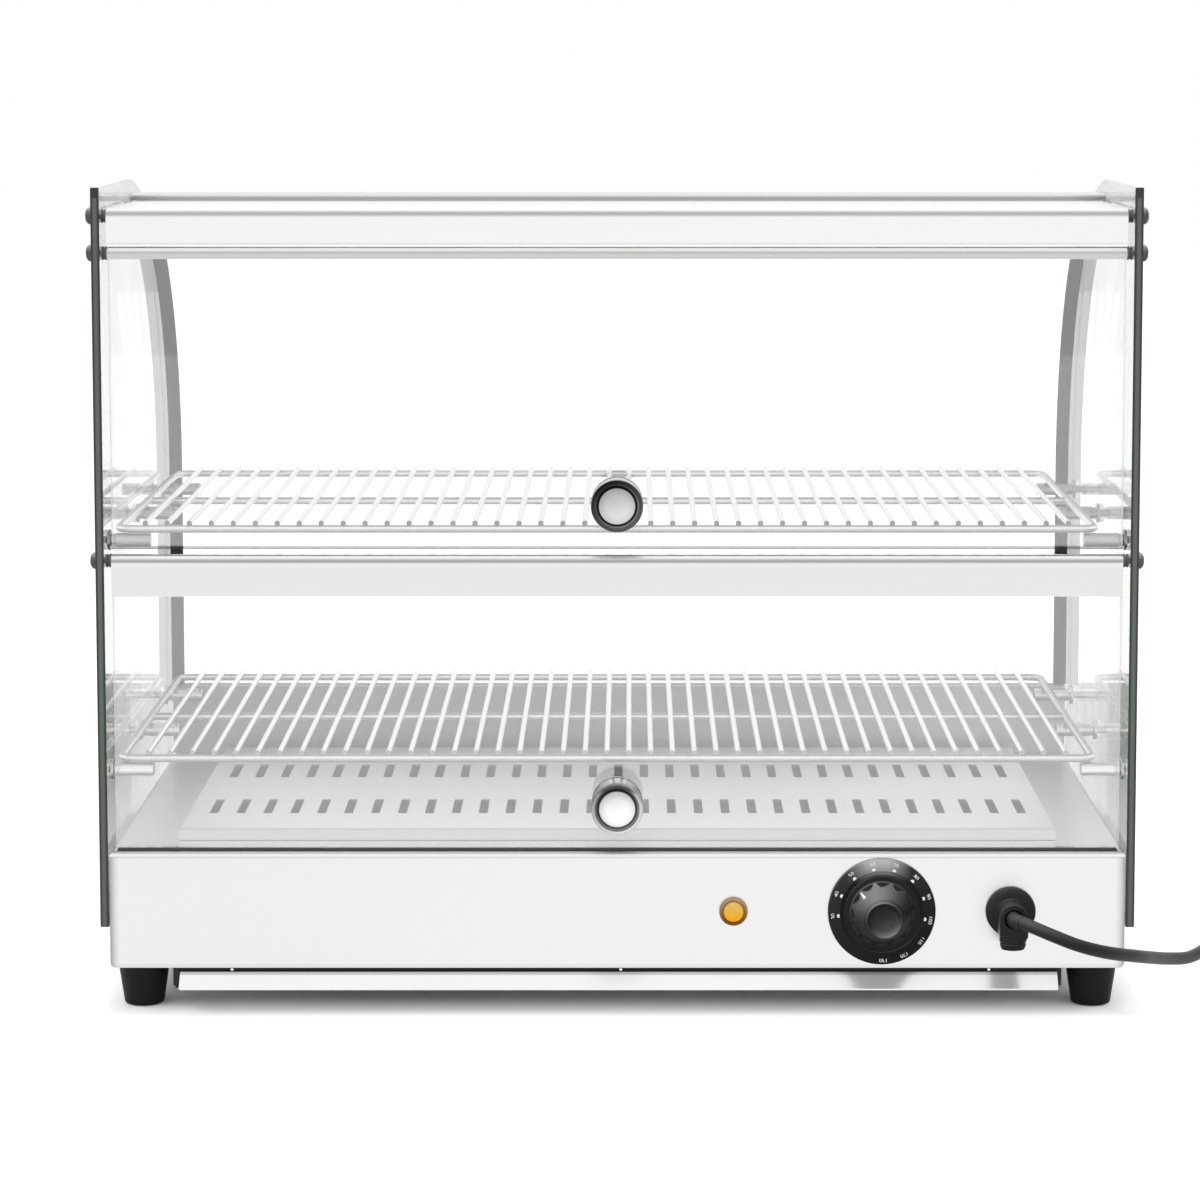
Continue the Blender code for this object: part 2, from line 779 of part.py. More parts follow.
def peg_places():
    return [(y, z) for z in (PEG_HEIGHT_UPPER, PEG_HEIGHT_LOWER) for y in PEG_PLACES]


def side_glass(name, side):
    corner = SIDE_GLASS_CORNER
    foot, top, far = SIDE_GLASS_FOOT, CASE_HEIGHT, CASE_DEPTH
    outline = (
        arc((corner, foot + corner), corner, 180, 270, 2)
        + arc((far - corner, foot + corner), corner, 270, 360, 2)
        + arc((BOW_CENTRE_Y, BOW_CENTRE_Z), BOW_RADIUS, 0, 90, BOW_STEPS)
        + arc((corner, top - corner), corner, 90, 180, 2)
    )
    holes = [circle(place, PIN_BORE, PIN_STEPS) for place in pin_places()]
    holes += [circle(place, PEG_STEM_RADIUS + SEAT_GAP, PEG_STEPS) for place in peg_places()]
    middle = side * (INNER_HALF + SIDE_GLASS / 2)
    return finished(plate(name, [outline, *holes], SIDE_GLASS, (middle, 0, 0), SIDE_ON), "glass")


def bow_strip(inner, outer, start_deg, foot):
    """The outline of a strip that follows the bow and then drops straight to its foot."""
    centre = (BOW_CENTRE_Y, BOW_CENTRE_Z)
    steps = BOW_STEPS
    upper = arc(centre, outer, 90 - start_deg, 0, steps)
    lower = arc(centre, inner, 0, 90 - start_deg, steps)
    return upper + [(centre[0] + outer, foot), (centre[0] + inner, foot)] + lower


def customer_glass():
    foot = CHANNEL_TOP - BOW_GLASS_SIT
    outline = bow_strip(BOW_GLASS_INNER, BOW_GLASS_OUTER, BOW_GLASS_START_DEG, foot)
    width = 2 * (INNER_HALF - BOW_GLASS_END_AIR)
    return finished(plate("customer_glass", [outline], width, turn=SIDE_ON), "glass")


def glass_seal(name, side):
    """A channel of black rubber along one side edge of the curved glass."""
    foot = CHANNEL_TOP + SEAT_GAP
    inner = BOW_GLASS_INNER - SEAT_GAP
    outer = BOW_GLASS_OUTER + SEAT_GAP
    outline = bow_strip(inner - SEAL_WALL, outer + SEAL_WALL, SEAL_START_DEG, foot)
    outside = INNER_HALF - SEAT_GAP
    middle = side * (outside - SEAL_WIDTH / 2)
    seal = as_mesh(plate(name, [outline], SEAL_WIDTH, (middle, 0, 0), SIDE_ON))
    groove_width = SEAL_WIDTH - SEAL_WEB + CUT_OVERRUN
    groove_middle = side * (outside - SEAL_WEB - groove_width / 2)
    groove = bow_strip(inner, outer, SEAL_START_DEG - BOW_GLASS_START_DEG, foot - CUT_OVERRUN)
    cut(seal, as_mesh(plate("groove", [groove], groove_width, (groove_middle, 0, 0), SIDE_ON)))
    return finished(seal, "rubber")


def customer_channel():
    """Folded channel on the far edge of the base; the curved glass stands in its slot."""
    sheet = CHANNEL_SHEET
    near = CHANNEL_NEAR
    far = BASE_DEPTH
    slot_near = BOW_CENTRE_Y + BOW_GLASS_INNER - SEAT_GAP
    slot_far = BOW_CENTRE_Y + BOW_GLASS_OUTER + SEAT_GAP
    top = CHANNEL_TOP
    sill = top - CHANNEL_SLOT_DEPTH
    outline = [
        (near, CHANNEL_FOOT),
        (near, top),
        (slot_near, top),
        (slot_near, sill),
        (slot_far, sill),
        (slot_far, top),
        (far, top),
        (far, CHANNEL_FOOT),
        (far - sheet, CHANNEL_FOOT),
        (far - sheet, top - sheet),
        (slot_far + sheet, top - sheet),
        (slot_far + sheet, sill - sheet),
        (slot_near - sheet, sill - sheet),
        (slot_near - sheet, top - sheet),
        (near + sheet, top - sheet),
        (near + sheet, CHANNEL_FOOT),
    ]
    width = 2 * (INNER_HALF - CHANNEL_END_AIR)
    return finished(plate("customer_channel", [outline], width, turn=SIDE_ON), "steel")


def roof_plate():
    """Roof, near bend, header band and its return lip as one folded sheet."""
    sheet = ROOF_SHEET
    top, near = ROOF_TOP, HEADER_SETBACK
    low = UPPER_PIVOT + BARREL_RADIUS + SEAT_GAP
    bend = ROOF_BEND
    outer = [(near + HEADER_LIP, low), *arc((near + bend, low + bend), bend, 270, 180, 3)]
    outer += [*arc((near + bend, top - bend), bend, 180, 90, 3), (ROOF_FAR, top)]
    inner = [(ROOF_FAR, top - sheet), *arc((near + bend, top - bend), bend - sheet, 90, 180, 3)]
    inner += [*arc((near + bend, low + bend), bend - sheet, 180, 270, 3)]
    inner += [(near + HEADER_LIP, low + sheet)]
    roof = as_mesh(plate("roof_plate", [outer + inner], 2 * END_HALF, turn=SIDE_ON))
    length, depth, height = END_BLOCK
    bolt_height = CASE_HEIGHT - HEADER_BOLT_DROP
    blocks = []
    for side in (-1, 1):
        ends = sorted((side * (END_HALF - FUSE_SINK), side * (END_HALF - length)))
        blocks.append(
            block(
                "end_block",
                (ends[0], near + sheet - FUSE_SINK, top - sheet + FUSE_SINK - height),
                (ends[1], near + sheet - FUSE_SINK + depth, top - sheet + FUSE_SINK),
            )
        )
    fuse(roof, joined("header_blocks", blocks))
    bore = rod(
        "header_bores",
        PIN_BORE,
        2 * (END_HALF + CUT_OVERRUN),
        PIN_STEPS,
        (0, HEADER_BOLT_DEPTH, bolt_height),
        ALONG_X,
    )
    cut(roof, bore)
    return finished(roof, "steel")


def roof_rail():
    """Rail over the joint between the roof plate and the curved glass."""
    foot = ROOF_TOP + SEAT_GAP
    top = foot + RAIL_HEIGHT
    edge = RAIL_EDGE
    outline = [
        (RAIL_NEAR, foot),
        (RAIL_FAR, foot),
        *arc((RAIL_FAR - edge, top - edge), edge, 0, 90, 3),
        *arc((RAIL_NEAR + edge, top - edge), edge, 90, 180, 3),
    ]
    width = 2 * (INNER_HALF - SEAT_GAP)
    return finished(plate("roof_rail", [outline], width, turn=SIDE_ON), "steel")


def glass_pin(name, side, depth, height):
    """Domed bolt through a side glass, with a collar inside and a shank in the rail's end."""
    outside = CASE_WIDTH / 2 + SEAT_GAP
    inside = INNER_HALF - SEAT_GAP
    end = END_HALF + SEAT_GAP
    profile = [(0, outside + PIN_HEAD_HEIGHT)]
    profile.append((PIN_HEAD_RADIUS * PIN_DOME_SHARE, outside + PIN_HEAD_HEIGHT * PIN_DOME_SHARE))
    profile += [
        (PIN_HEAD_RADIUS, outside),
        (PIN_RADIUS, outside),
        (PIN_RADIUS, inside),
        (PIN_COLLAR_RADIUS, inside),
        (PIN_COLLAR_RADIUS, end),
        (PIN_RADIUS, end),
        (PIN_RADIUS, END_HALF - PIN_GRIP),
        (0, END_HALF - PIN_GRIP),
    ]
    pin = turned(name, profile, PIN_STEPS, (0, depth, height), (0, side * math.radians(90), 0))
    return finished(pin, "chrome")


def shelf_peg(name, side, depth, height):
    """Steel peg on the inside of a side glass, held by a low flat head outside."""
    outside = CASE_WIDTH / 2 + SEAT_GAP
    inside = INNER_HALF - SEAT_GAP
    profile = [
        (0, outside + PEG_HEAD),
        (PEG_HEAD_RADIUS, outside + PEG_HEAD),
        (PEG_HEAD_RADIUS, outside),
        (PEG_STEM_RADIUS, outside),
        (PEG_STEM_RADIUS, inside),
        (PEG_WASHER_RADIUS, inside),
        (PEG_WASHER_RADIUS, inside - PEG_WASHER),
        (PEG_RADIUS, inside - PEG_WASHER),
        (PEG_RADIUS, inside - PEG_REACH),
        (0, inside - PEG_REACH),
    ]
    peg = turned(name, profile, PEG_STEPS, (0, depth, height), (0, side * math.radians(90), 0))
    return finished(peg, "chrome")


def cabinet_fasteners():
    for word, side in (("left", -1), ("right", 1)):
        header, upper, lower = pin_places()
        glass_pin(f"header_bolt_{word}", side, *header)
        glass_pin(f"upper_pivot_{word}", side, *upper)
        glass_pin(f"lower_pivot_{word}", side, *lower)
        for level, height in (("upper", PEG_HEIGHT_UPPER), ("lower", PEG_HEIGHT_LOWER)):
            for row, y in zip(("near", "middle", "far"), PEG_PLACES):
                shelf_peg(f"{level}_peg_{row}_{word}", side, y, height)


# Glass flaps


def door_rail(name, drop, parent):
    """Rolled rail with a slot for the glass; its round top turns on the pivot pins."""
    shoulder = math.degrees(math.acos(RAIL_LEG / BARREL_RADIUS))
    outer = arc((0, 0), BARREL_RADIUS, -shoulder, 180 + shoulder, BARREL_STEPS)
    slot = DOOR_SLOT / 2
    inner = arc((0, 0), slot, 180, 0, BARREL_STEPS // 2)
    outline = outer + [(-RAIL_LEG, -drop), (-slot, -drop), *inner, (slot, -drop), (RAIL_LEG, -drop)]
    return finished(plate(name, [outline], 2 * END_HALF, turn=SIDE_ON), "steel", parent)


def door_glass(name, pivot, foot, knob_height, parent):
    """Flap of glass whose top corners are notched for the pivot pins."""
    half = END_HALF - SEAT_GAP
    top = DOOR_GLASS_SEAT
    notch = PIN_RADIUS + SEAT_GAP
    step = END_HALF - NOTCH_LENGTH
    low = foot - pivot
    outline = [
        (-half, low),
        (half, low),
        (half, -notch),
        (step, -notch),
        (step, top),
        (-step, top),
        (-step, -notch),
        (-half, -notch),
    ]
    hole = circle((0, knob_height - pivot), KNOB_NECK + SEAT_GAP, PIN_STEPS)
    return finished(plate(name, [outline, hole], DOOR_GLASS, turn=FACE_ON), "glass", parent)


def door_knob(name, height, parent):
    """Round pull with a neck through the glass and a washer inside; its front takes the cap."""
    glass = DOOR_GLASS / 2
    front = glass + KNOB_REACH - CAP_DISC - SEAT_GAP
    back = glass + SEAT_GAP
    seat = front - CAP_SPIGOT - SEAT_GAP
    socket = CAP_SPIGOT_RADIUS + SEAT_GAP
    profile = [
        (0, seat),
        (socket, seat),
        (socket, front),
        (KNOB_RADIUS - KNOB_EDGE, front),
        (KNOB_RADIUS, front - KNOB_EDGE),
        (KNOB_RADIUS, back + KNOB_EDGE),
        (KNOB_RADIUS - KNOB_EDGE, back),
        (KNOB_NECK, back),
        (KNOB_NECK, -back),
        (KNOB_WASHER_RADIUS, -back),
        (KNOB_WASHER_RADIUS, -back - KNOB_WASHER),
        (0, -back - KNOB_WASHER),
    ]
    knob = turned(name, profile, KNOB_STEPS, (0, 0, height), TOWARDS_OPERATOR)
    finished(knob, "chrome", parent)
    tip = glass + KNOB_REACH
    disc = tip - CAP_DISC
    cap_profile = [
        (0, tip),
        (CAP_BOSS_RADIUS / 2, tip - CAP_RISE / 4),
        (CAP_BOSS_RADIUS, tip - CAP_RISE),
        (KNOB_RADIUS - KNOB_EDGE, tip - CAP_RISE),
        (KNOB_RADIUS, tip - CAP_RISE - KNOB_EDGE),
        (KNOB_RADIUS, disc),
        (CAP_SPIGOT_RADIUS, disc),
        (CAP_SPIGOT_RADIUS, disc - CAP_SPIGOT),
        (0, disc - CAP_SPIGOT),
    ]
    cap = turned(f"{name}_cap", cap_profile, KNOB_STEPS, (0, 0, height), TOWARDS_OPERATOR)
    return finished(cap, "plastic", parent)


def door(level, pivot, foot, drop, knob_height):
    axis = empty(f"{level}_door_axis", (0, DOOR_DEPTH, pivot), DATUM)
    door_rail(f"{level}_door_rail", drop, axis)
    door_glass(f"{level}_door_glass", pivot, foot, knob_height, axis)
    door_knob(f"{level}_door_knob", knob_height - pivot, axis)


# Wire shelves


def shelf(name, peg_height):
    """Welded rack: a round-cornered frame, one cross bar under the middle and many wires on top."""
    half, bend = SHELF_HALF, SHELF_CORNER
    loop = []
    for x, y, start in (
        (half - bend, SHELF_FAR - bend, 0),
        (bend - half, SHELF_FAR - bend, 90),
        (bend - half, SHELF_NEAR + bend, 180),
        (half - bend, SHELF_NEAR + bend, 270),
    ):
        loop += arc((x, y), bend, start, start + 90, SHELF_CORNER_STEPS)
    flat_on_top = math.radians(22.5)
    points = [(x, y, 0) for x, y in loop]
    frame = as_mesh(tube(name, points, SHELF_FRAME_RADIUS, 2, closed=True, tilt=flat_on_top))
    middle = (SHELF_NEAR + SHELF_FAR) / 2
    ends = [(side * half, middle, -CROSS_BAR_DROP) for side in (-1, 1)]
    bar = tube("bar", ends, SHELF_FRAME_RADIUS, 2, tilt=flat_on_top)
    fuse(frame, as_mesh(bar), frame)
    flat_height = SHELF_FRAME_RADIUS * math.cos(flat_on_top)
    rise = flat_height + SHELF_WIRE_RADIUS - WIRE_WELD
    length = SHELF_FAR - SHELF_NEAR + 2 * SHELF_FRAME_RADIUS * math.cos(math.radians(60))
    wires = []
    for i in range(SHELF_WIRE_COUNT):
        x = (i - (SHELF_WIRE_COUNT - 1) / 2) * SHELF_WIRE_PITCH
        wires.append(rod("wire", SHELF_WIRE_RADIUS, length, SHELF_WIRE_SIDES, (x, middle, rise), POINT_DOWN))
    fuse(frame, joined("wires", wires), frame)
    height = peg_height + PEG_RADIUS + SEAT_GAP + SHELF_FRAME_RADIUS
    frame.location = (SHELF_SHIFT, 0, height)
    return finished(frame, "chrome")


# Crumb tray


def crumb_tray():
    """Shallow pan whose near wall leans out as a pull lip."""
    top = BASE_FOOT - TRAY_TOP_AIR
    form = bmesh.new()
    bmesh.ops.create_cube(form, size=1)
    low = Vector((-TRAY_HALF_WIDTH, 0, TRAY_FLOOR))
    high = Vector((TRAY_HALF_WIDTH, TRAY_FAR, top))
    bmesh.ops.scale(form, vec=high - low, verts=form.verts)
    bmesh.ops.translate(form, vec=(low + high) / 2, verts=form.verts)
    lid = [face for face in form.faces if face.normal.z > abs(face.normal.x + face.normal.y)]
    bmesh.ops.delete(form, geom=lid, context="FACES_ONLY")
    middle = (low + high) / 2
    toe = [v for v in form.verts if v.co.y < middle.y and v.co.z < middle.z]
    bmesh.ops.translate(form, vec=(0, -TRAY_LIP, 0), verts=toe)
    mesh = bpy.data.meshes.new("crumb_tray")
    form.to_mesh(mesh)
    form.free()
    tray = linked("crumb_tray", mesh)
    wall = tray.modifiers.new("Sheet", "SOLIDIFY")
    wall.thickness = TRAY_SHEET
    wall.offset = -1
    wall.use_even_offset = True
    return finished(tray, "steel")


def tray_runner(name, side):
    """Black angle under the base; the tray slides on its ledge."""
    web = side * (TRAY_HALF_WIDTH + 2 * SEAT_GAP)
    back = web + side * RUNNER_SHEET
    toe = web - side * RUNNER_LEDGE
    top = BASE_FOOT - SEAT_GAP
    ledge = TRAY_FLOOR - SEAT_GAP
    outline = [(back, top), (web, top), (web, ledge), (toe, ledge)]
    outline += [(toe, ledge - RUNNER_SHEET), (back, ledge - RUNNER_SHEET)]
    length = RUNNER_FAR - RUNNER_NEAR
    middle = (RUNNER_FAR + RUNNER_NEAR) / 2
    return finished(plate(name, [outline], length, (0, middle, 0), FACE_ON), "plastic")


# Controls


def dial_plate():
    outer, bore = DIAL_RADIUS, SPINDLE_RADIUS + SEAT_GAP
    profile = [
        (outer - DIAL_CHAMFER, DIAL_FRONT),
        (outer, DIAL_FRONT - DIAL_CHAMFER),
        (outer, SEAT_GAP),
        (bore, SEAT_GAP),
        (bore, DIAL_FRONT),
    ]
    place = (DIAL_PLACE, 0, CONTROL_HEIGHT)
    return finished(turned("dial_plate", profile, DIAL_STEPS, place, TOWARDS_OPERATOR, True), "plastic")


def thermostat_knob():
    """Flared knob with finger scallops and a spindle that runs back into the thermostat."""
    axis = empty("thermostat_axis", (DIAL_PLACE, 0, CONTROL_HEIGHT), DATUM)
    tip = DIAL_REACH
    shoulder = tip - KNOB_GRIP_LENGTH
    skirt = KNOB_BACK + KNOB_SKIRT
    waist = skirt + (shoulder - skirt) / 3
    profile = [
        (0, tip),
        (KNOB_GRIP_RADIUS - DIAL_KNOB_EDGE, tip),
        (KNOB_GRIP_RADIUS, tip - DIAL_KNOB_EDGE),
        (KNOB_GRIP_RADIUS, shoulder),
        ((KNOB_GRIP_RADIUS + KNOB_FLARE_RADIUS) / 2, waist),
        (KNOB_FLARE_RADIUS, skirt),
        (KNOB_SKIRT_RADIUS, skirt),
        (KNOB_SKIRT_RADIUS, KNOB_BACK),
        (SPINDLE_RADIUS, KNOB_BACK),
        (SPINDLE_RADIUS, -BASE_SHEET - SPINDLE_SEAT),
        (0, -BASE_SHEET - SPINDLE_SEAT),
    ]
    knob = turned("thermostat_knob", profile, DIAL_STEPS, turn=TOWARDS_OPERATOR)
    length = tip - skirt
    middle = -(skirt + FUSE_SINK + length / 2)
    scallops = []
    for i in range(SCALLOP_COUNT):
        angle = math.radians(DIAL_POINTER_DEG + (i + 1 / 2) * 360 / SCALLOP_COUNT)
        x, z = SCALLOP_PLACE * math.cos(angle), SCALLOP_PLACE * math.sin(angle)
        scallops.append(rod("scallop", SCALLOP_RADIUS, length, PIN_STEPS, (x, middle, z), FACE_ON))
    cut(knob, joined("scallops", scallops), axis)
    return finished(knob, "plastic", axis)


def thermostat_body():
    width, depth, height = THERMOSTAT_SIZE
    near = BASE_SHEET + SEAT_GAP
    body = block(
        "thermostat_body",
        (DIAL_PLACE - width / 2, near, CONTROL_HEIGHT - height / 2),
        (DIAL_PLACE + width / 2, near + depth, CONTROL_HEIGHT + height / 2),
    )
    length = SPINDLE_SEAT + CUT_OVERRUN
    middle = BASE_SHEET + SEAT_GAP + SPINDLE_SEAT - length / 2
    place = (DIAL_PLACE, middle, CONTROL_HEIGHT)
    cut(body, rod("spindle_bore", SPINDLE_RADIUS + SEAT_GAP, length, PIN_STEPS, place, FACE_ON))
    return finished(body, "ceramic")


def pilot_lamp():
    """Bezel with a hollow body behind the panel, and a domed lens seated in it."""
    front = SEAT_GAP + LAMP_FLANGE
    outer = LAMP_BORE + LAMP_WALL
    seat = front - LAMP_FLANGE
    bezel = [
        (LAMP_RADIUS, front),
        (LAMP_RADIUS, SEAT_GAP),
        (outer, SEAT_GAP),
        (outer, -LAMP_BODY),
        (LAMP_BORE - LAMP_WALL, -LAMP_BODY),
        (LAMP_BORE - LAMP_WALL, seat),
        (LAMP_BORE, seat),
        (LAMP_BORE, front),
    ]
    place = (LAMP_PLACE, 0, CONTROL_HEIGHT)
    finished(turned("pilot_lamp_bezel", bezel, LAMP_STEPS, place, TOWARDS_OPERATOR, True), "plastic")
    radius = LAMP_BORE - SEAT_GAP
    lens = [
        (0, front + LAMP_DOME),
        (radius / 2, front + LAMP_DOME * 3 / 4),
        (radius, front),
        (radius, seat + SEAT_GAP),
        (0, seat + SEAT_GAP),
    ]
    return finished(turned("pilot_lamp_lens", lens, LAMP_STEPS, place, TOWARDS_OPERATOR), "amber")


# Cord gland, clamp, cord, coil, tie and plug


def cord_gland():
    front = SEAT_GAP + GLAND_FLANGE
    nut = -BASE_SHEET - SEAT_GAP
    profile = [
        (0, GLAND_BOSS),
        (GLAND_NECK_RADIUS, GLAND_BOSS),
        (GLAND_NECK_RADIUS, front),
        (GLAND_FLANGE_RADIUS - DIAL_CHAMFER, front),
        (GLAND_FLANGE_RADIUS, front - DIAL_CHAMFER),
        (GLAND_FLANGE_RADIUS, SEAT_GAP),
        (GLAND_NECK_RADIUS, SEAT_GAP),
        (GLAND_NECK_RADIUS, nut),
        (GLAND_NUT_RADIUS, nut),
        (GLAND_NUT_RADIUS, nut - GLAND_NUT),
        (0, nut - GLAND_NUT),
    ]
    place = (GLAND_PLACE, 0, CONTROL_HEIGHT)
    return finished(turned("cord_gland", profile, GLAND_STEPS, place, TOWARDS_OPERATOR), "plastic")


def cord_clamp():
    """Strain relief in front of the gland: a rounded body with the cord's mouth, and a screw barrel."""
    half = CLAMP_HALF_WIDTH
    outline = arc((0, 0), half, 0, 180, CLAMP_STEPS) + [(-half, -CLAMP_DROP), (half, -CLAMP_DROP)]
    mouth = circle((0, 0), CLAMP_MOUTH, CLAMP_STEPS)
    middle = -(CLAMP_BACK + CLAMP_DEPTH / 2)
    place = (GLAND_PLACE, middle, CONTROL_HEIGHT)
    clamp = as_mesh(plate("cord_clamp", [outline, mouth], CLAMP_DEPTH, place, FACE_ON))
    top = -CLAMP_DROP + FUSE_SINK
    barrel = [
        (0, top),
        (min(CLAMP_BARREL_RADIUS, CLAMP_DEPTH / 2 - FUSE_SINK), top),
        (min(CLAMP_BARREL_RADIUS, CLAMP_DEPTH / 2 - FUSE_SINK), top - CLAMP_BARREL / 2),
        (min(CLAMP_BARREL_TIP, CLAMP_DEPTH / 2 - 2 * FUSE_SINK), top - CLAMP_BARREL),
        (0, top - CLAMP_BARREL),
    ]
    fuse(clamp, turned("clamp_barrel", barrel, CLAMP_STEPS, place))
    return finished(clamp, "plastic")


def smooth_route(points, spacing):
    """Points at even spacing along a smooth curve through the route's own points."""
    route = [Vector(p) for p in points]
    ends = [2 * route[0] - route[1], *route, 2 * route[-1] - route[-2]]
    fine = []
    for a, b, c, d in zip(ends, ends[1:], ends[2:], ends[3:]):
        for i in range(20):
            t = i / 20
            fine.append(
                (2 * b + (c - a) * t + (2 * a - 5 * b + 4 * c - d) * t**2 + (3 * b - a - 3 * c + d) * t**3)
                / 2
            )
    fine.append(route[-1])
    total = sum((b - a).length for a, b in zip(fine, fine[1:]))
    count = max(2, round(total / spacing))
    even, walked, target = [fine[0]], 0.0, total / count
    for a, b in zip(fine, fine[1:]):
        step = (b - a).length
        while step and walked + step >= target and len(even) < count:
            even.append(a.lerp(b, (target - walked) / step))
            target += total / count
        walked += step
    return [*even, fine[-1]]


def coil_radius(turn):
    """The coil winds in at a steady rate, turns back at its middle and winds out again."""
    half = COIL_TURNS / 2
    return COIL_RADIUS - COIL_PITCH * (half - abs(turn - half))


def coil_height(turn):
    """It climbs one layer in the half turn round its middle."""
    share = min(1.0, max(0.0, turn - COIL_TURNS / 2 + 1 / 4) * 2)
    return COIL_HEIGHT + COIL_LAYER * share * share * (3 - 2 * share)


def coil_centre():
    return Vector((COIL_START[0] + COIL_RADIUS, COIL_START[1], 0))


def coil_point(turn):
    angle = math.pi - math.tau * turn
    radius = coil_radius(turn)
    across = Vector((math.cos(angle), math.sin(angle), 0)) * radius
    return coil_centre() + across + Vector((0, 0, coil_height(turn)))


def coil_points():
    """The winding, with a straight run of one diameter before it and after it."""
    count = round(COIL_TURNS * COIL_LOOP_POINTS)
    points = [coil_point(COIL_TURNS * i / count) for i in range(count + 1)]
    run = 2 * CORD_RADIUS
    lead = Vector((COIL_START[0], COIL_START[1] - run, COIL_HEIGHT))
    last = points[-1]
    angle = math.pi - math.tau * COIL_TURNS
    heading = Vector((math.sin(angle), -math.cos(angle), 0))
    return [lead, *points, last + heading * run], heading


def cord_points():
    """The free stretch, square to the gland at one end and to the coil's lead at the other."""
    start = Vector((GLAND_PLACE, -(GLAND_BOSS + SEAT_GAP), CONTROL_HEIGHT))
    end = Vector((COIL_START[0], COIL_START[1] - 2 * CORD_RADIUS - SEAT_GAP, COIL_HEIGHT))
    before = end - Vector((0, 2 * CORD_RADIUS, 0))
    route = [(GLAND_PLACE + out, y, z) for out, y, z in CORD_BY_GLAND]
    route += [(CASE_WIDTH / 2 + out, y, z) for out, y, z in CORD_BY_CASE]
    middle = smooth_route([*route, before], CORD_SPACING)
    return [start, *middle, end]


def least_gap(points, apart):
    """The least gap of a tube to itself, between points more than a given run apart."""
    closest = math.inf
    for i, a in enumerate(points):
        for b in points[i + apart :]:
            closest = min(closest, (a - b).length)
    return closest - 2 * CORD_RADIUS


def length_of(points):
    return sum((b - a).length for a, b in zip(points, points[1:]))


def power_cord():
    free = cord_points()
    finished(tube("power_cord", free, CORD_RADIUS, 2), "rubber")
    wound, heading = coil_points()
    finished(tube("power_cord_coil", wound, CORD_RADIUS, 1), "rubber")
    fine = [coil_point(COIL_TURNS * i / 1200) for i in range(1201)]
    print(f"coil's least gap to itself: {least_gap(fine, 200) * 1000:.2f} mm")
    print(f"cord's length: {length_of(free) + length_of(wound):.3f} m")
    return wound[-1], heading


def coil_tie():
    """A band round all the turns at one place."""
    turns = [i / 720 for i in range(round(COIL_TURNS * 720) + 1)]
    wanted = math.radians(TIE_ANGLE_DEG)
    radii, heights = [], []
    for turn in turns:
        angle = (math.pi - math.tau * turn) % math.tau
        if abs(angle - wanted) < math.tau / 720:
            radii.append(coil_radius(turn))
            heights.append(coil_height(turn))
    beside = CORD_RADIUS + TIE_SIDE_AIR
    above = CORD_RADIUS + TIE_AIR
    low = (min(radii) - beside, min(heights) - above)
    high = (max(radii) + beside, max(heights) + above)
    band, corner = TIE_BAND, TIE_CORNER

    def rounded(low, high, bend):
        return (
            arc((high[0] - bend, high[1] - bend), bend, 0, 90, 2)
            + arc((low[0] + bend, high[1] - bend), bend, 90, 180, 2)
            + arc((low[0] + bend, low[1] + bend), bend, 180, 270, 2)
            + arc((high[0] - bend, low[1] + bend), bend, 270, 360, 2)
        )

    inner = rounded(low, high, corner - band)
    outer = rounded((low[0] - band, low[1] - band), (high[0] + band, high[1] + band), corner)
    turn = (math.radians(90), 0, wanted)
    return finished(plate("coil_tie", [outer, inner], TIE_WIDTH, coil_centre(), turn), "rubber")


def power_plug(cord_end, heading):
    """Round earthed plug that lies on its back beside the coil, its pins up."""
    sleeve_start = cord_end + heading * SEAT_GAP
    centre = sleeve_start + heading * (PLUG_SLEEVE + PLUG_RADIUS)
    foot = PLUG_FLOOR_AIR
    top = foot + PLUG_HEIGHT
    waist = PLUG_RADIUS * PLUG_WAIST_SHARE
    profile = [
        (0, top - PLUG_FACE_SINK),
        (PLUG_RADIUS - PLUG_EDGE, top - PLUG_FACE_SINK),
        (PLUG_RADIUS - PLUG_EDGE / 2, top),
        (PLUG_RADIUS, top - PLUG_EDGE / 2),
        (PLUG_RADIUS, top - PLUG_EDGE * 2),
        (waist, foot + PLUG_EDGE),
        (waist - PLUG_EDGE, foot),
        (0, foot),
    ]
    plug = turned("power_plug", profile, PLUG_STEPS, (centre.x, centre.y, 0))
    across = Vector((-heading.y, heading.x, 0))
    pins = []
    for side in (-1, 1):
        place = centre + across * (side * PLUG_PIN_SPACING / 2)
        low = top - PLUG_FACE_SINK - FUSE_SINK
        tip = top - PLUG_FACE_SINK + PLUG_PIN
        middle = (place.x, place.y, (low + tip) / 2)
        pins.append(rod("pin", PLUG_PIN_RADIUS, tip - low, CLAMP_STEPS, middle, FLAT))
    fuse(plug, joined("plug_pins", pins))
    length = PLUG_SLEEVE + PLUG_RADIUS / 2
    sleeve = [(0, length), (PLUG_SLEEVE_TIP, length), (PLUG_SLEEVE_RADIUS, 0), (0, 0)]
    back = (-heading).to_track_quat("Z", "Y").to_euler()
    place = sleeve_start + heading * length
    fuse(plug, turned("plug_sleeve", sleeve, CLAMP_STEPS, place, back))
    return finished(plug, "plastic")


# The case

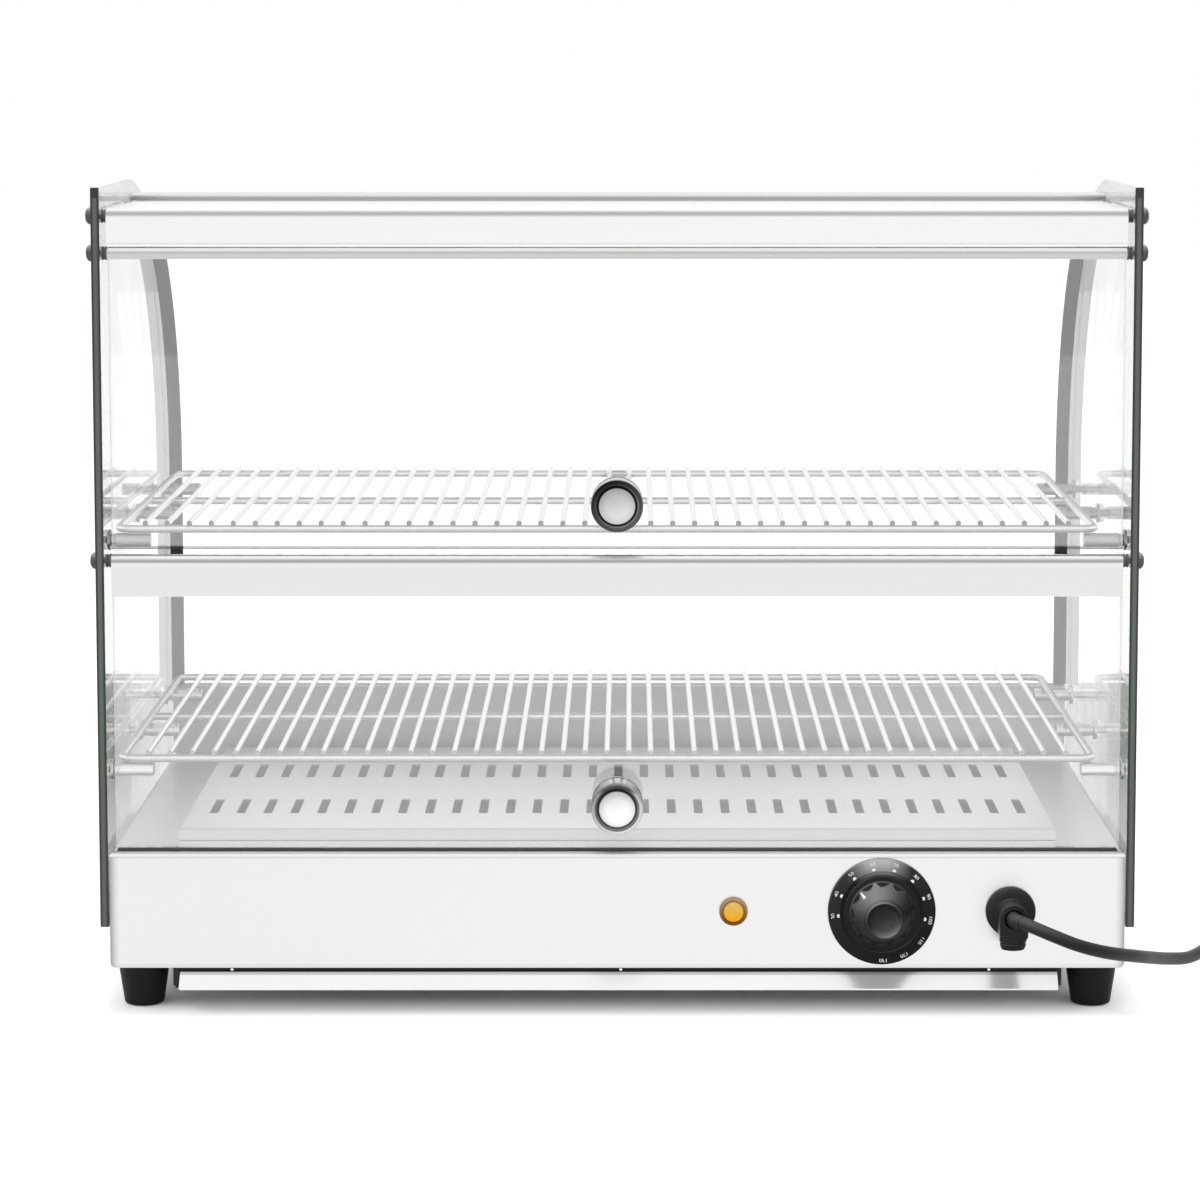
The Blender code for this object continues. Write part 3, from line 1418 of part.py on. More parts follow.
base_housing()
base_floor()
heater_element()
terminal_block()
heater_deck()
feet()
side_glass("side_glass_left", -1)
side_glass("side_glass_right", 1)
customer_glass()
glass_seal("glass_seal_left", -1)
glass_seal("glass_seal_right", 1)
customer_channel()
roof_plate()
roof_rail()
cabinet_fasteners()
door("upper", UPPER_PIVOT, UPPER_DOOR_FOOT, UPPER_RAIL_DROP, KNOB_HEIGHT_UPPER)
door("lower", LOWER_PIVOT, LOWER_DOOR_FOOT, LOWER_RAIL_DROP, KNOB_HEIGHT_LOWER)
shelf("upper_shelf", PEG_HEIGHT_UPPER)
shelf("lower_shelf", PEG_HEIGHT_LOWER)
crumb_tray()
tray_runner("tray_runner_left", -1)
tray_runner("tray_runner_right", 1)
dial_plate()
thermostat_knob()
thermostat_body()
pilot_lamp()
cord_gland()
cord_clamp()
power_plug(*power_cord())
coil_tie()
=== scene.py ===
"""Looks of the heated display case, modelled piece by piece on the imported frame.

Metres throughout. The operator's side is -Y, the customer's side +Y, and +Z is up.
"""

import math
import bmesh
import bpy
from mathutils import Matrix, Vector


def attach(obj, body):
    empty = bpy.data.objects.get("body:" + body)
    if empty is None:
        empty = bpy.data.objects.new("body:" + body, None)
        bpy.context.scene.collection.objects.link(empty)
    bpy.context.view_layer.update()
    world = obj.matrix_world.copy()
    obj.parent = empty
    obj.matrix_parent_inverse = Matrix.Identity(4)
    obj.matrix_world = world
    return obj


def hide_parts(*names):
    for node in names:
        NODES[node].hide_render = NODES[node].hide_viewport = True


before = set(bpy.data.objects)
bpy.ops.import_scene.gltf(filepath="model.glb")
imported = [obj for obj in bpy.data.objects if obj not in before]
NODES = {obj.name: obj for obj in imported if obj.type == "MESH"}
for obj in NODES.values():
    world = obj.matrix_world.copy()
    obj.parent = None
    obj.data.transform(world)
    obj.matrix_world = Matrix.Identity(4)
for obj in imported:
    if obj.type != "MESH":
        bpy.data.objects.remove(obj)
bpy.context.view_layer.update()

AIR = 0.0003

# Lengths, and the pointer's angle, repeated from the frame's own design

NEAR = -0.147
SIDE = 0.295
GLASS = 0.005
TOP = 0.481
BOW_DEPTH, BOW_HEIGHT, BOW_RADIUS = 0.122, 0.283, 0.198
BASE_HALF, BASE_DEPTH, BASE_FOOT, BASE_TOP = 0.2944, 0.3135, 0.0277, 0.0964
CONTROL_HEIGHT = 0.0612
DIAL_X, LAMP_X, GLAND_X = 0.1534, 0.0674, 0.2281
FLAP_DEPTH, UPPER_PIVOT, LOWER_PIVOT = 0.008, 0.4427, 0.2653
RAIL_HALF = 0.2915
UPPER_KNOB, LOWER_KNOB = 0.300, 0.125
POINTER = 134.6
SHELF_SHIFT = -0.006
BAR_RADIUS = 0.0023
TRAY_FLOOR, TRAY_TOP = 0.0165, 0.0253
CORD_RADIUS = 0.00375


# Modelling


def deselect():
    if bpy.context.object and bpy.context.object.mode != "OBJECT":
        bpy.ops.object.mode_set(mode="OBJECT")
    bpy.ops.object.select_all(action="DESELECT")


def pick(*pieces):
    deselect()
    for piece in pieces:
        piece.select_set(True)
    bpy.context.view_layer.objects.active = pieces[0]
    return pieces[0]


def settled(piece):
    """Place, turn and scale go into the mesh."""
    pick(piece)
    bpy.ops.object.transform_apply(location=True, rotation=True, scale=True)
    return piece


def smoothed(piece, degrees=32):
    pick(piece)
    bpy.ops.object.shade_smooth_by_angle(angle=math.radians(degrees))
    return piece


def flattened(piece):
    """Large flat faces shade flat, and the bevels beside them take the curve."""
    return modified(piece, "WEIGHTED_NORMAL", mode="FACE_AREA", weight=100, keep_sharp=True)


def modified(piece, kind, **values):
    """Adds one modifier and applies it."""
    pick(piece)
    change = piece.modifiers.new(kind.title(), kind)
    for key, value in values.items():
        setattr(change, key, value)
    bpy.ops.object.modifier_apply(modifier=change.name)
    return piece


def eased(piece, width, degrees=30):
    angle = math.radians(degrees)
    return modified(piece, "BEVEL", width=width, segments=2, limit_method="ANGLE", angle_limit=angle)


def united(name, pieces):
    whole = pick(*pieces)
    if len(pieces) > 1:
        bpy.ops.object.join()
    whole.name = name
    whole.data.name = name
    return whole


def cut_by(piece, cutter):
    modified(piece, "BOOLEAN", operation="DIFFERENCE", object=cutter, solver="EXACT")
    bpy.data.objects.remove(cutter)
    return piece


def slab(name, low, high):
    middle = [(a + b) / 2 for a, b in zip(low, high)]
    deselect()
    bpy.ops.mesh.primitive_cube_add(size=1, location=middle)
    piece = bpy.context.object
    piece.name = name
    piece.scale = [b - a for a, b in zip(low, high)]
    return settled(piece)


QUARTER = math.radians(90)
UP = (0, 0, 0)
TOWARDS_OPERATOR = (QUARTER, 0, 0)
SIDE_ON = (QUARTER, 0, QUARTER)
MM = 0.001
POINT = 0.00001


def turned(name, profile, at=(0, 0, 0), turn=UP, steps=48):
    """A round piece drawn out ring by ring from a disc: profile holds (radius, height) in millimetres."""
    deselect()
    rings = [(max(radius * MM, POINT), height * MM) for radius, height in profile]
    radius, height = rings[0]
    middle = (0, 0, height)
    bpy.ops.mesh.primitive_circle_add(vertices=steps, radius=radius, fill_type="NGON", location=middle)
    piece = bpy.context.object
    piece.name = name
    settled(piece)
    bpy.ops.object.mode_set(mode="EDIT")
    bpy.ops.mesh.select_all(action="SELECT")
    for following, level in rings[1:]:
        bpy.ops.mesh.extrude_region_move(
            TRANSFORM_OT_translate={"value": (0, 0, level - height), "orient_type": "GLOBAL"}
        )
        share = following / radius
        bpy.ops.transform.resize(value=(share, share, 1), center_override=(0, 0, level))
        radius, height = following, level
    bpy.ops.mesh.select_all(action="SELECT")
    bpy.ops.mesh.remove_doubles(threshold=0.000004)
    bpy.ops.mesh.normals_make_consistent(inside=False)
    bpy.ops.object.mode_set(mode="OBJECT")
    piece.rotation_euler = turn
    piece.location = at
    return smoothed(settled(piece))


def deep(x, depth, z):
    """A place given by how far it lies behind the near edge of the side glasses."""
    return (x, NEAR + depth, z)


def on_front(name, profile, x, steps, z=CONTROL_HEIGHT, depth=0.0):
    """A round piece that stands out towards the operator."""
    return turned(name, profile, deep(x, depth, z), TOWARDS_OPERATOR, steps)


def through_glass(name, profile, side, depth, height, steps):
    """A round piece that stands out through a side glass."""
    return turned(name, profile, deep(0, depth, height), (0, side * QUARTER, 0), steps)


def on_dial(out, degrees, radius):
    """A place on the thermostat: how far out of the base it lies, and its angle and radius."""
    angle = math.radians(degrees)
    spoke = Vector((math.cos(angle), 0, math.sin(angle)))
    return Vector(deep(DIAL_X, -out, CONTROL_HEIGHT)) + spoke * radius


def arc(centre, radius, start, end, steps):
    """Points along a circle, with the angles in degrees."""
    angles = [math.radians(start + (end - start) * i / steps) for i in range(steps + 1)]
    return [(centre[0] + radius * math.cos(a), centre[1] + radius * math.sin(a)) for a in angles]


def curve_piece(name, runs, closed, **settings):
    """A curve, flat or in space, with a straight-edged run through each list of points."""
    curve = bpy.data.curves.new(name, "CURVE")
    for key, value in settings.items():
        setattr(curve, key, value)
    for points in runs:
        run = curve.splines.new("POLY")
        run.points.add(len(points) - 1)
        for point, place in zip(run.points, points):
            point.co = (*Vector(place).to_3d(), 1)
        run.use_cyclic_u = closed
    piece = bpy.data.objects.new(name, curve)
    bpy.context.scene.collection.objects.link(piece)
    return piece


def cutout(name, outlines, thickness, at=(0, 0, 0), turn=UP, edge=0.0, smooth=30):
    """A flat piece of sheet, glass or rubber: filled outlines with a thickness and eased edges."""
    piece = curve_piece(name, outlines, True, dimensions="2D", fill_mode="BOTH", extrude=thickness / 2)
    pick(piece)
    bpy.ops.object.convert(target="MESH")
    bpy.ops.object.mode_set(mode="EDIT")
    bpy.ops.mesh.select_all(action="SELECT")
    bpy.ops.mesh.remove_doubles(threshold=0.00001)
    if len(outlines) == 1:
        bpy.ops.mesh.dissolve_limited(angle_limit=math.radians(0.05))
    bpy.ops.mesh.normals_make_consistent(inside=False)
    bpy.ops.object.mode_set(mode="OBJECT")
    piece.location = at
    piece.rotation_euler = turn
    settled(piece)
    if edge:
        eased(piece, edge, 55)
    return smoothed(piece, smooth)


def section(name, outline, width, x=0, edge=0.0, smooth=30):
    """A piece with one section all along X, drawn as depth behind the near edge against height."""
    return cutout(name, [outline], width, (x, NEAR, 0), SIDE_ON, edge, smooth)


def line(name, points, radius, closed=False):
    """A round bar or cord that runs along points."""
    bar = {"bevel_depth": radius, "bevel_resolution": 5, "use_fill_caps": not closed}
    return meshed(curve_piece(name, [points], closed, dimensions="3D", **bar))


def meshed(piece):
    pick(piece)
    bpy.ops.object.convert(target="MESH")
    return smoothed(settled(piece), 50)


def copied(piece, name, shift=(0, 0, 0)):
    twin = piece.copy()
    twin.data = piece.data.copy()
    twin.name = name
    bpy.context.scene.collection.objects.link(twin)
    twin.location = shift
    return settled(twin)


# Camera


def aim_camera():
    """The photograph's view: its focal length is in pixels of a frame 1200 wide."""
    lens = bpy.data.cameras.new("photo_view")
    camera = bpy.data.objects.new("photo_view", lens)
    bpy.context.scene.collection.objects.link(camera)
    camera.location = deep(0.0078, -2.1040, 0.5577)
    camera.rotation_euler = (math.radians(90 - 5.7033), 0, 0)
    lens.sensor_width = 36
    lens.lens = 3693.8 / 1200 * 36
    lens.shift_x = -0.0256
    lens.shift_y = -0.15
    lens.clip_start = 0.1
    lens.clip_end = 50
    bpy.context.scene.camera = camera


aim_camera()


# Cord, its coil, its tie and its plug

CORD_BY_GLAND = (
    (0.0, -0.0250, 0.0612),
    (0.0064, -0.0345, 0.0612),
    (0.0199, -0.0400, 0.0565),
)
CORD_BY_CASE = (
    (-0.0360, -0.0370, 0.0497),
    (-0.0180, -0.0235, 0.0424),
    (0.0014, 0.0035, 0.0338),
    (0.0162, 0.0370, 0.0245),
    (0.0310, 0.0710, 0.0155),
    (0.0475, 0.1040, 0.0080),
    (0.0620, 0.1340, 0.0055),
    (0.0710, 0.1620, 0.0054),
)
COIL_HEIGHT = 0.00545
COIL_RADIUS = 0.0505
COIL_PITCH = 0.0082
COIL_TURNS = 4.5
COIL_START = Vector(deep(0.3745, 0.1860, 0))
COIL_CENTRE = COIL_START + Vector((COIL_RADIUS, 0, 0))


def smooth_route(points, spacing):
    """A smooth curve through the points, with even steps of about one spacing."""
    route = [Vector(p) for p in points]
    ends = [2 * route[0] - route[1], *route, 2 * route[-1] - route[-2]]
    fine = []
    for a, b, c, d in zip(ends, ends[1:], ends[2:], ends[3:]):
        for i in range(20):
            t = i / 20
            bend, twist = 2 * a - 5 * b + 4 * c - d, 3 * b - a - 3 * c + d
            fine.append((2 * b + (c - a) * t + bend * t**2 + twist * t**3) / 2)
    fine.append(route[-1])
    total = sum((b - a).length for a, b in zip(fine, fine[1:]))
    count = max(2, round(total / spacing))
    even, walked, target = [fine[0]], 0.0, total / count
    for a, b in zip(fine, fine[1:]):
        step = (b - a).length
        while step and walked + step >= target and len(even) < count:
            even.append(a.lerp(b, (target - walked) / step))
            target += total / count
        walked += step
    return [*even, fine[-1]]


def coil_point(turn):
    half = COIL_TURNS / 2
    radius = COIL_RADIUS - COIL_PITCH * (half - abs(turn - half))
    share = min(1.0, max(0.0, turn - half + 0.25) * 2)
    height = COIL_HEIGHT + COIL_PITCH * share * share * (3 - 2 * share)
    angle = math.pi - math.tau * turn
    return COIL_CENTRE + Vector((math.cos(angle) * radius, math.sin(angle) * radius, height))


def cord_route():
    """From the clamp's mouth along the table and round the coil to the plug's sleeve."""
    start = (GLAND_X, -0.0088, CONTROL_HEIGHT)
    run = 2 * CORD_RADIUS
    before = (COIL_START.x, COIL_START.y - NEAR - 2 * run, COIL_HEIGHT)
    route = [(GLAND_X + out, y, z) for out, y, z in CORD_BY_GLAND]
    route += [(0.300 + out, y, z) for out, y, z in CORD_BY_CASE]
    free = [Vector(start), *smooth_route([*route, before], 0.004)]
    free = [p + Vector((0, NEAR, 0)) for p in free]
    count = round(COIL_TURNS * 48)
    wound = [coil_point(COIL_TURNS * i / count) for i in range(count + 1)]
    heading = Vector((0, -1, 0))
    lead = COIL_START + Vector((0, -run, COIL_HEIGHT))
    return [*free, lead, *wound, wound[-1] + heading * run], heading


def lay_cord():
    points, heading = cord_route()
    cord = line("mains_cord", points, CORD_RADIUS)
    length = sum((b - a).length for a, b in zip(points, points[1:]))
    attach(cord, "cabinet")
    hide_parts("power_cord", "power_cord_coil")
    cord.visible_glossy = False
    return cord, points, length, heading


def moulded_plug(cord_end, heading):
    """Round earthed plug lying on its back, with ribs on its sleeve and a recessed face."""
    sleeve_start = cord_end + heading * AIR
    centre = sleeve_start + heading * 0.048
    profile = [
        (12.8, 0.2), (15.2, 2.4), (15.8, 6.2), (17.6, 21), (18, 22.2), (18, 26), (16.8, 27.2), (15.8, 27),
        (15.2, 25.2), (10, 25.2), (0.1, 25.2),
    ]
    body = turned("plug_body", profile, (centre.x, centre.y, 0), steps=64)
    profile = [(2.4, 24.2), (2.4, 42.2), (2, 43.6), (1.2, 44.2), (0.1, 44.3)]
    places = [(centre.x + side * 0.0095, centre.y, 0) for side in (-1, 1)]
    pins = [turned("plug_pin", profile, place, steps=24) for place in places]
    rings = [(4.6, 0)]
    for i in range(6):
        at = 2.6 + i * 4
        radius = 4.9 + 0.22 * i
        rings += [(radius, at), (radius, at + 2.2), (radius - 0.7, at + 2.6), (radius - 0.7, at + 3.8)]
    rings += [(6.2, 27), (6.2, 38), (0.1, 38.5)]
    sleeve = turned("plug_sleeve", rings, steps=32)
    sleeve.rotation_euler = heading.to_track_quat("Z", "Y").to_euler()
    sleeve.location = sleeve_start
    settled(sleeve)
    return united("mains_plug", [body, sleeve]), united("plug_pins", pins)


cord, cord_points, cord_length, plug_heading = lay_cord()
plug, plug_pins = moulded_plug(cord_points[-1], plug_heading)
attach(plug, "cabinet")
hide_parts("power_plug")
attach(plug_pins, "cabinet")


# Finishes: a small language for material nodes


def step(operation, turned_round=False):
    """One arithmetic node as a method of a flow."""

    def take(self, *others):
        terms = (*others, self) if turned_round else (self, *others)
        return self.finish.node("ShaderNodeMath", {"operation": operation}, *terms)

    return take


class Flow:
    """A value, colour or vector on its way from one node's output to another's input."""

    def __init__(self, finish, socket):
        self.finish = finish
        self.socket = socket

    __add__ = __radd__ = step("ADD")
    __sub__ = step("SUBTRACT")
    __rsub__ = step("SUBTRACT", True)
    __mul__ = __rmul__ = step("MULTIPLY")
    __pow__ = step("POWER")
    __gt__ = step("GREATER_THAN")
    __lt__ = step("LESS_THAN")
    size = step("ABSOLUTE")
    at_least = step("MAXIMUM")
    at_most = step("MINIMUM")

    def output(self, name):
        return Flow(self.finish, self.socket.node.outputs[name])


class Finish:
    """One material, or the world, written as node calls that end in its shader."""

    def __init__(self, name, world=None):
        self.material = world or bpy.data.materials.new(name)
        self.material.use_nodes = True
        self.tree = self.material.node_tree
        self.shader = self.tree.nodes["Background" if world else "Principled BSDF"]

    def feed(self, socket, value):
        if isinstance(value, Flow):
            self.tree.links.new(value.socket, socket)
        elif isinstance(value, (tuple, list)) and len(socket.default_value) == 4:
            socket.default_value = (*value[:3], 1)
        else:
            socket.default_value = value

    def node(self, kind, settings=None, *values, **named):
        made = self.tree.nodes.new(kind)
        for key, value in (settings or {}).items():
            setattr(made, key, value)
        for socket, value in zip(made.inputs, values):
            self.feed(socket, value)
        for key, value in named.items():
            self.feed(made.inputs[key.replace("_", " ")], value)
        return Flow(self, next(s for s in made.outputs if s.enabled))

    def place(self):
        """Object coordinates, with their three parts."""
        where = self.node("ShaderNodeTexCoord").output("Object")
        parts = self.node("ShaderNodeSeparateXYZ", None, where)
        return where, parts.output("X"), parts.output("Y"), parts.output("Z")

    def noise(self, where, scale, detail=2.0):
        return self.node("ShaderNodeTexNoise", None, Vector=where, Scale=scale, Detail=detail, Roughness=0.5)

    def stretched(self, where, scale):
        return self.node("ShaderNodeMapping", None, Vector=where, Scale=scale)

    def between(self, share, low, high):
        """A colour between two, by a share."""
        mixed = self.node("ShaderNodeMix", {"data_type": "RGBA"})
        made = mixed.socket.node
        self.feed(made.inputs[0], share)
        self.feed(made.inputs[6], low)
        self.feed(made.inputs[7], high)
        return Flow(self, made.outputs[2])

    def greys(self, value, stops):
        """A grey that runs from stop to stop: each stop holds (value, grey)."""
        made = self.node("ShaderNodeValToRGB", None, value)
        elements = made.socket.node.color_ramp.elements
        while len(elements) < len(stops):
            elements.new(0.5)
        for element, (place, shade) in zip(elements, stops):
            element.position = place
            element.color = (shade, shade, shade, 1)
        return made

    def ramp(self, value, low, high):
        """0 at low, 1 at high, straight between, and clamped."""
        return self.node("ShaderNodeMapRange", {"clamp": True}, value, low, high, 0.0, 1.0)

    def bump(self, height, strength, distance):
        return self.node("ShaderNodeBump", None, Strength=strength, Distance=distance, Height=height)

    def normal(self):
        return self.node("ShaderNodeTexCoord").output("Normal")

    def up(self):
        """1 on faces that look up, -1 on those that look down."""
        return self.node("ShaderNodeSeparateXYZ", None, self.normal()).output("Z")

    def seen(self):
        """1 for rays that the camera sees straight, in a reflection or through glass."""
        rays = self.node("ShaderNodeLightPath")
        straight, mirrored = rays.output("Is Camera Ray"), rays.output("Is Glossy Ray")
        return straight.at_least(mirrored).at_least(rays.output("Is Transmission Ray"))

    def set(self, **values):
        for key, value in values.items():
            self.feed(self.shader.inputs[key.replace("_", " ")], value)
        return self.material


def rim(finish, power):
    """How far a surface turns away from the eye, as gloss sees it."""
    return finish.node("ShaderNodeLayerWeight", None, 0.5).output("Facing") ** power


def undersides(finish):
    """1 on faces that look down, 0 on level and upward ones."""
    return finish.ramp(finish.up(), 0.15, -0.95)


def shades(shade, factor):
    return [min(1.0, c * factor) for c in shade]


def sheet_steel(
    name, shade, rough, grain=(900, 900, 12), edge=0.5, power=3.0, below=0.72, cloud=7.0, metal=1.0,
    painted_light=None,
):
    """Stainless sheet: rolled grain, faint clouding, painted shade at a glance and on its undersides, and the
    part's own painted light and shade, if given.
    """
    f = Finish(name)
    where, x, y, z = f.place()
    brushed = f.noise(f.stretched(where, grain), 1.0, 2.0)
    clouds = f.noise(f.stretched(where, (cloud, cloud * 0.3, cloud * 0.3)), 1.0, 2.0)
    tone = f.between(clouds, shades(shade, 0.94), shades(shade, 1.04))
    # Painted shade on faces that look down, and painted dark outlines where the sheet turns away.
    tone = f.between(undersides(f), tone, shades(shade, below))
    colour = f.between(rim(f, power), tone, shades(shade, edge))
    if painted_light:
        colour = painted_light(f, x, y, z, colour)
    normal = f.bump(brushed, 0.012, 0.0002)
    return f.set(Base_Color=colour, Metallic=metal, Roughness=rough - 0.04 + brushed * 0.08, Normal=normal)


def plated(name, shade=(0.88, 0.88, 0.87), rough=0.14, edge=0.22, power=1.6, below=0.7, painted_light=None):
    """Bright plating, with painted dark outlines where it curves away, painted shade on its undersides, and
    the part's own painted light and shade, if given.
    """
    f = Finish(name)
    where, x, y, z = f.place()
    fine = f.noise(where, 260.0, 2.0)
    tone = f.between(undersides(f), shade, shades(shade, below))
    colour = f.between(rim(f, power), tone, shades(shade, edge))
    if painted_light:
        colour = painted_light(f, x, y, z, colour)
    normal = f.bump(fine, 0.03, 0.0002)
    return f.set(Base_Color=colour, Metallic=1.0, Roughness=rough + fine * 0.06, Normal=normal)


def facing(finish, across, depth, up):
    """1 where a surface faces one direction, falling to 0 at a right angle to it."""
    way = (across, depth, up)
    dot = finish.node("ShaderNodeVectorMath", {"operation": "DOT_PRODUCT"}, finish.normal(), way)
    return dot.output("Value").at_least(0.0)


def moulded(name, shade, rough, grain=420.0, strength=0.12, coat=0.0, specular=0.22, sheen=0.0, painted_light=None):
    """Moulded plastic or rubber: fine texture, paler dust in its clouds, a painted highlight (sheen) where it
    faces up, left and towards the operator, and the part's own painted light and shade, if given.
    """
    f = Finish(name)
    where, x, y, z = f.place()
    fine = f.noise(where, grain, 3.0)
    clouds = f.noise(where, 35.0, 2.0)
    colour = f.between(clouds, shade, [c * 1.35 + 0.002 for c in shade])
    # Painted highlight: paler where the surface faces up, left and towards the operator.
    if sheen:
        colour = f.between(facing(f, -0.35, -0.42, 0.83) ** 3.0 * sheen, colour, (0.30, 0.30, 0.305))
    if painted_light:
        colour = painted_light(f, x, y, z, colour)
    f.shader.inputs["Coat Weight"].default_value = coat
    f.shader.inputs["Coat Roughness"].default_value = 0.12
    f.shader.inputs["Specular IOR Level"].default_value = specular
    normal = f.bump(fine, strength, 0.0002)
    return f.set(Base_Color=colour, Roughness=rough - 0.06 + fine * 0.14, Normal=normal)


def pane(name, veil, glance_share, edge_colour, pale_share, edges):
    """Clear glass: a thin veil of reflection, more of it at a glance, and ground edges."""
    f = Finish(name)
    where, x, y, z = f.place()
    dark, pale = edges(f, x, y, z)
    glance = f.node("ShaderNodeFresnel", None, 1.5)
    smear = f.noise(where, 9.0, 3.0)
    sheen = (glance * glance_share + veil + (smear - 0.5) * 0.02).at_most(0.85)
    alpha = sheen.at_least(dark).at_least(pale * pale_share)
    colour = f.between(pale, (0.985, 0.99, 0.985), (0.95, 0.97, 0.965))
    colour = f.between(dark > 0.01, colour, edge_colour(f, x, y, z))
    solid = dark.at_least(pale)
    return f.set(Base_Color=colour, Metallic=1 - solid, Roughness=solid * 0.30 + 0.02, Alpha=alpha)


def give(material, *pieces):
    for piece in pieces:
        piece.data.materials.clear()
        piece.data.materials.append(material)


def grey(level):
    return (level, level, level * 0.995)


def base_touch(f, x, y, z, tone):
    """Painted light on the base: painted shade round its upright corners, along its fold and at its foot, a
    painted highlight on the top bend with painted shade above it, and its top painted paler near the flap.
    """
    near = y < NEAR + 0.0060
    corner = f.ramp(x.size(), BASE_HALF - 0.0066, BASE_HALF) ** 2.0
    tone = f.between(corner * near * (z < 0.0960) * 0.80, tone, grey(0.16))
    tone = f.between(f.ramp(z, 0.0930, 0.0935) * near, tone, grey(0.92))
    tone = f.between(f.ramp(z, 0.0944, 0.0950) * near, tone, grey(0.64))
    fold = f.ramp((z - 0.0929).size(), 0.0006, 0.0002) * near
    tone = f.between(fold * 0.42, tone, grey(0.35))
    tone = f.between(f.ramp(z, 0.0305, 0.0277) * near * 0.35, tone, grey(0.4))
    top = f.between(f.ramp(y, NEAR + 0.030, NEAR + 0.25), grey(1.0), grey(0.60))
    return f.between(z > BASE_TOP - 0.0002, tone, top)


def header_touch(f, x, y, z, tone):
    """Painted light: white along the roof and along the header's lower edge, with a painted dark line where
    the roof folds down into the header.
    """
    tone = f.between((z > 0.4672).at_least(z < 0.4474), tone, grey(1.0))
    fold = f.ramp((z - 0.4655).size(), 0.0020, 0.0006)
    return f.between(fold * 0.75, tone, grey(0.34))


def flap_touch(pivot, top, waist, leg):
    """Painted light on a flap's rail: a painted highlight over its barrel, painted shade under it, and an
    even grey down its leg.
    """

    def painted_light(f, x, y, z, tone):
        barrel = f.between(f.ramp(z, pivot + 0.0001, pivot + 0.0023), grey(waist), grey(top))
        barrel = f.between(f.ramp(z, pivot + 0.0023, pivot + 0.0029), barrel, grey(1.0))
        under = f.ramp(z, pivot - 0.0003, pivot - 0.0016)
        down = f.between(f.ramp(z, pivot - 0.0050, pivot - 0.0030), grey(leg), grey(leg * 1.04))
        return f.between(under, barrel, down)

    return painted_light


def deck_touch(f, x, y, z, tone):
    """Painted light on the slotted deck: it greys towards the customer's side, less on the right, its upright
    faces are painted grey, and a painted dark line runs along its top edge.
    """
    depth = f.ramp(y, NEAR + 0.040, NEAR + 0.200) * (1 - f.ramp(x, 0.06, 0.24) * 0.7)
    edge = f.ramp(z, 0.1022, 0.1027) * f.ramp(z, 0.1036, 0.1032)
    tone = f.between(depth, grey(0.98), grey(0.76))
    tone = f.between(f.ramp(z, 0.1028, 0.1024), tone, grey(0.84))
    return f.between(edge * 0.5, tone, grey(0.40))


def channel_touch(f, x, y, z, tone):
    """Painted light on the channel: its near face is paler towards the right and at its foot."""
    pale = f.ramp(x, 0.10, 0.24) * 0.45 + f.ramp(z, 0.140, 0.100) * 0.15
    return f.between(pale, grey(0.36), grey(0.75))


def roof_rail_touch(f, x, y, z, tone):
    """Painted shade: a dark line where the rail's near face meets the roof."""
    return f.between(f.ramp(z, 0.4708, 0.4697) * (y < NEAR + 0.1312), tone, grey(0.40))


def cut_touch(f, x, y, z, tone):
    """The wires' cut ends are dark, with painted shade making the upper shelf's darker, as the lower shelf's
    catch more light.
    """
    return f.between(z > 0.20, grey(0.42), grey(0.14))


def peg_touch(f, x, y, z, tone):
    """The upper shelf's pegs stand in shade."""
    return f.between((z > 0.20) * 0.62, tone, grey(0.20))


def bolt_touch(f, x, y, z, tone):
    """A bolt's domed head catches the light on its top."""
    return f.between(facing(f, 0.0, -0.25, 0.97) ** 3.0 * 0.8, tone, grey(0.55))


def grip_touch(f, x, y, z, tone):
    """Painted shade on the thermostat knob's skirt: it is darker than its grip and keeps little of the
    painted highlight.
    """
    out = ((x - DIAL_X) ** 2 + (z - CONTROL_HEIGHT) ** 2) ** 0.5
    return f.between(f.ramp(out, 0.0184, 0.0196) * 0.8, tone, grey(0.006))


def tray_touch(f, x, y, z, tone):
    """The base shades the top of the tray's lip."""
    return f.between(f.ramp(z, 0.0236, 0.0243) * 0.65, tone, grey(0.30))


def tube_touch(f, x, y, z, tone):
    """Painted light on a shelf's bars: a dark line on top, bright in front, grey below, and paler below on
    the far ones.
    """
    height = f.up() * 0.5 + 0.5
    near = f.greys(height, [(0.0, 0.42), (0.50, 0.52), (0.62, 0.95), (0.80, 0.98), (0.90, 0.55), (1.0, 0.34)])
    far = f.greys(height, [(0.0, 0.60), (0.46, 0.62), (0.56, 0.98), (0.72, 0.98), (0.82, 0.42), (1.0, 0.30)])
    return f.between(f.ramp(y, NEAR + 0.05, NEAR + 0.12), near, far)


# Each stainless part's grey is set to how bright the part shows where it stands, so the differences between
# these greys are painted light.
ALONG = (12, 900, 900)
STEEL = sheet_steel(
    "base_stainless", (0.775, 0.775, 0.77), 0.34, power=2.0, edge=0.6, cloud=3.0, painted_light=base_touch
)
HEADER = sheet_steel(
    "header_stainless", (0.93, 0.93, 0.925), 0.30, ALONG, edge=1.0, cloud=2.0, painted_light=header_touch
)
RAIL = sheet_steel(
    "rail_stainless", (0.84, 0.84, 0.835), 0.22, ALONG, edge=0.9, below=0.5, cloud=2.0, painted_light=roof_rail_touch
)
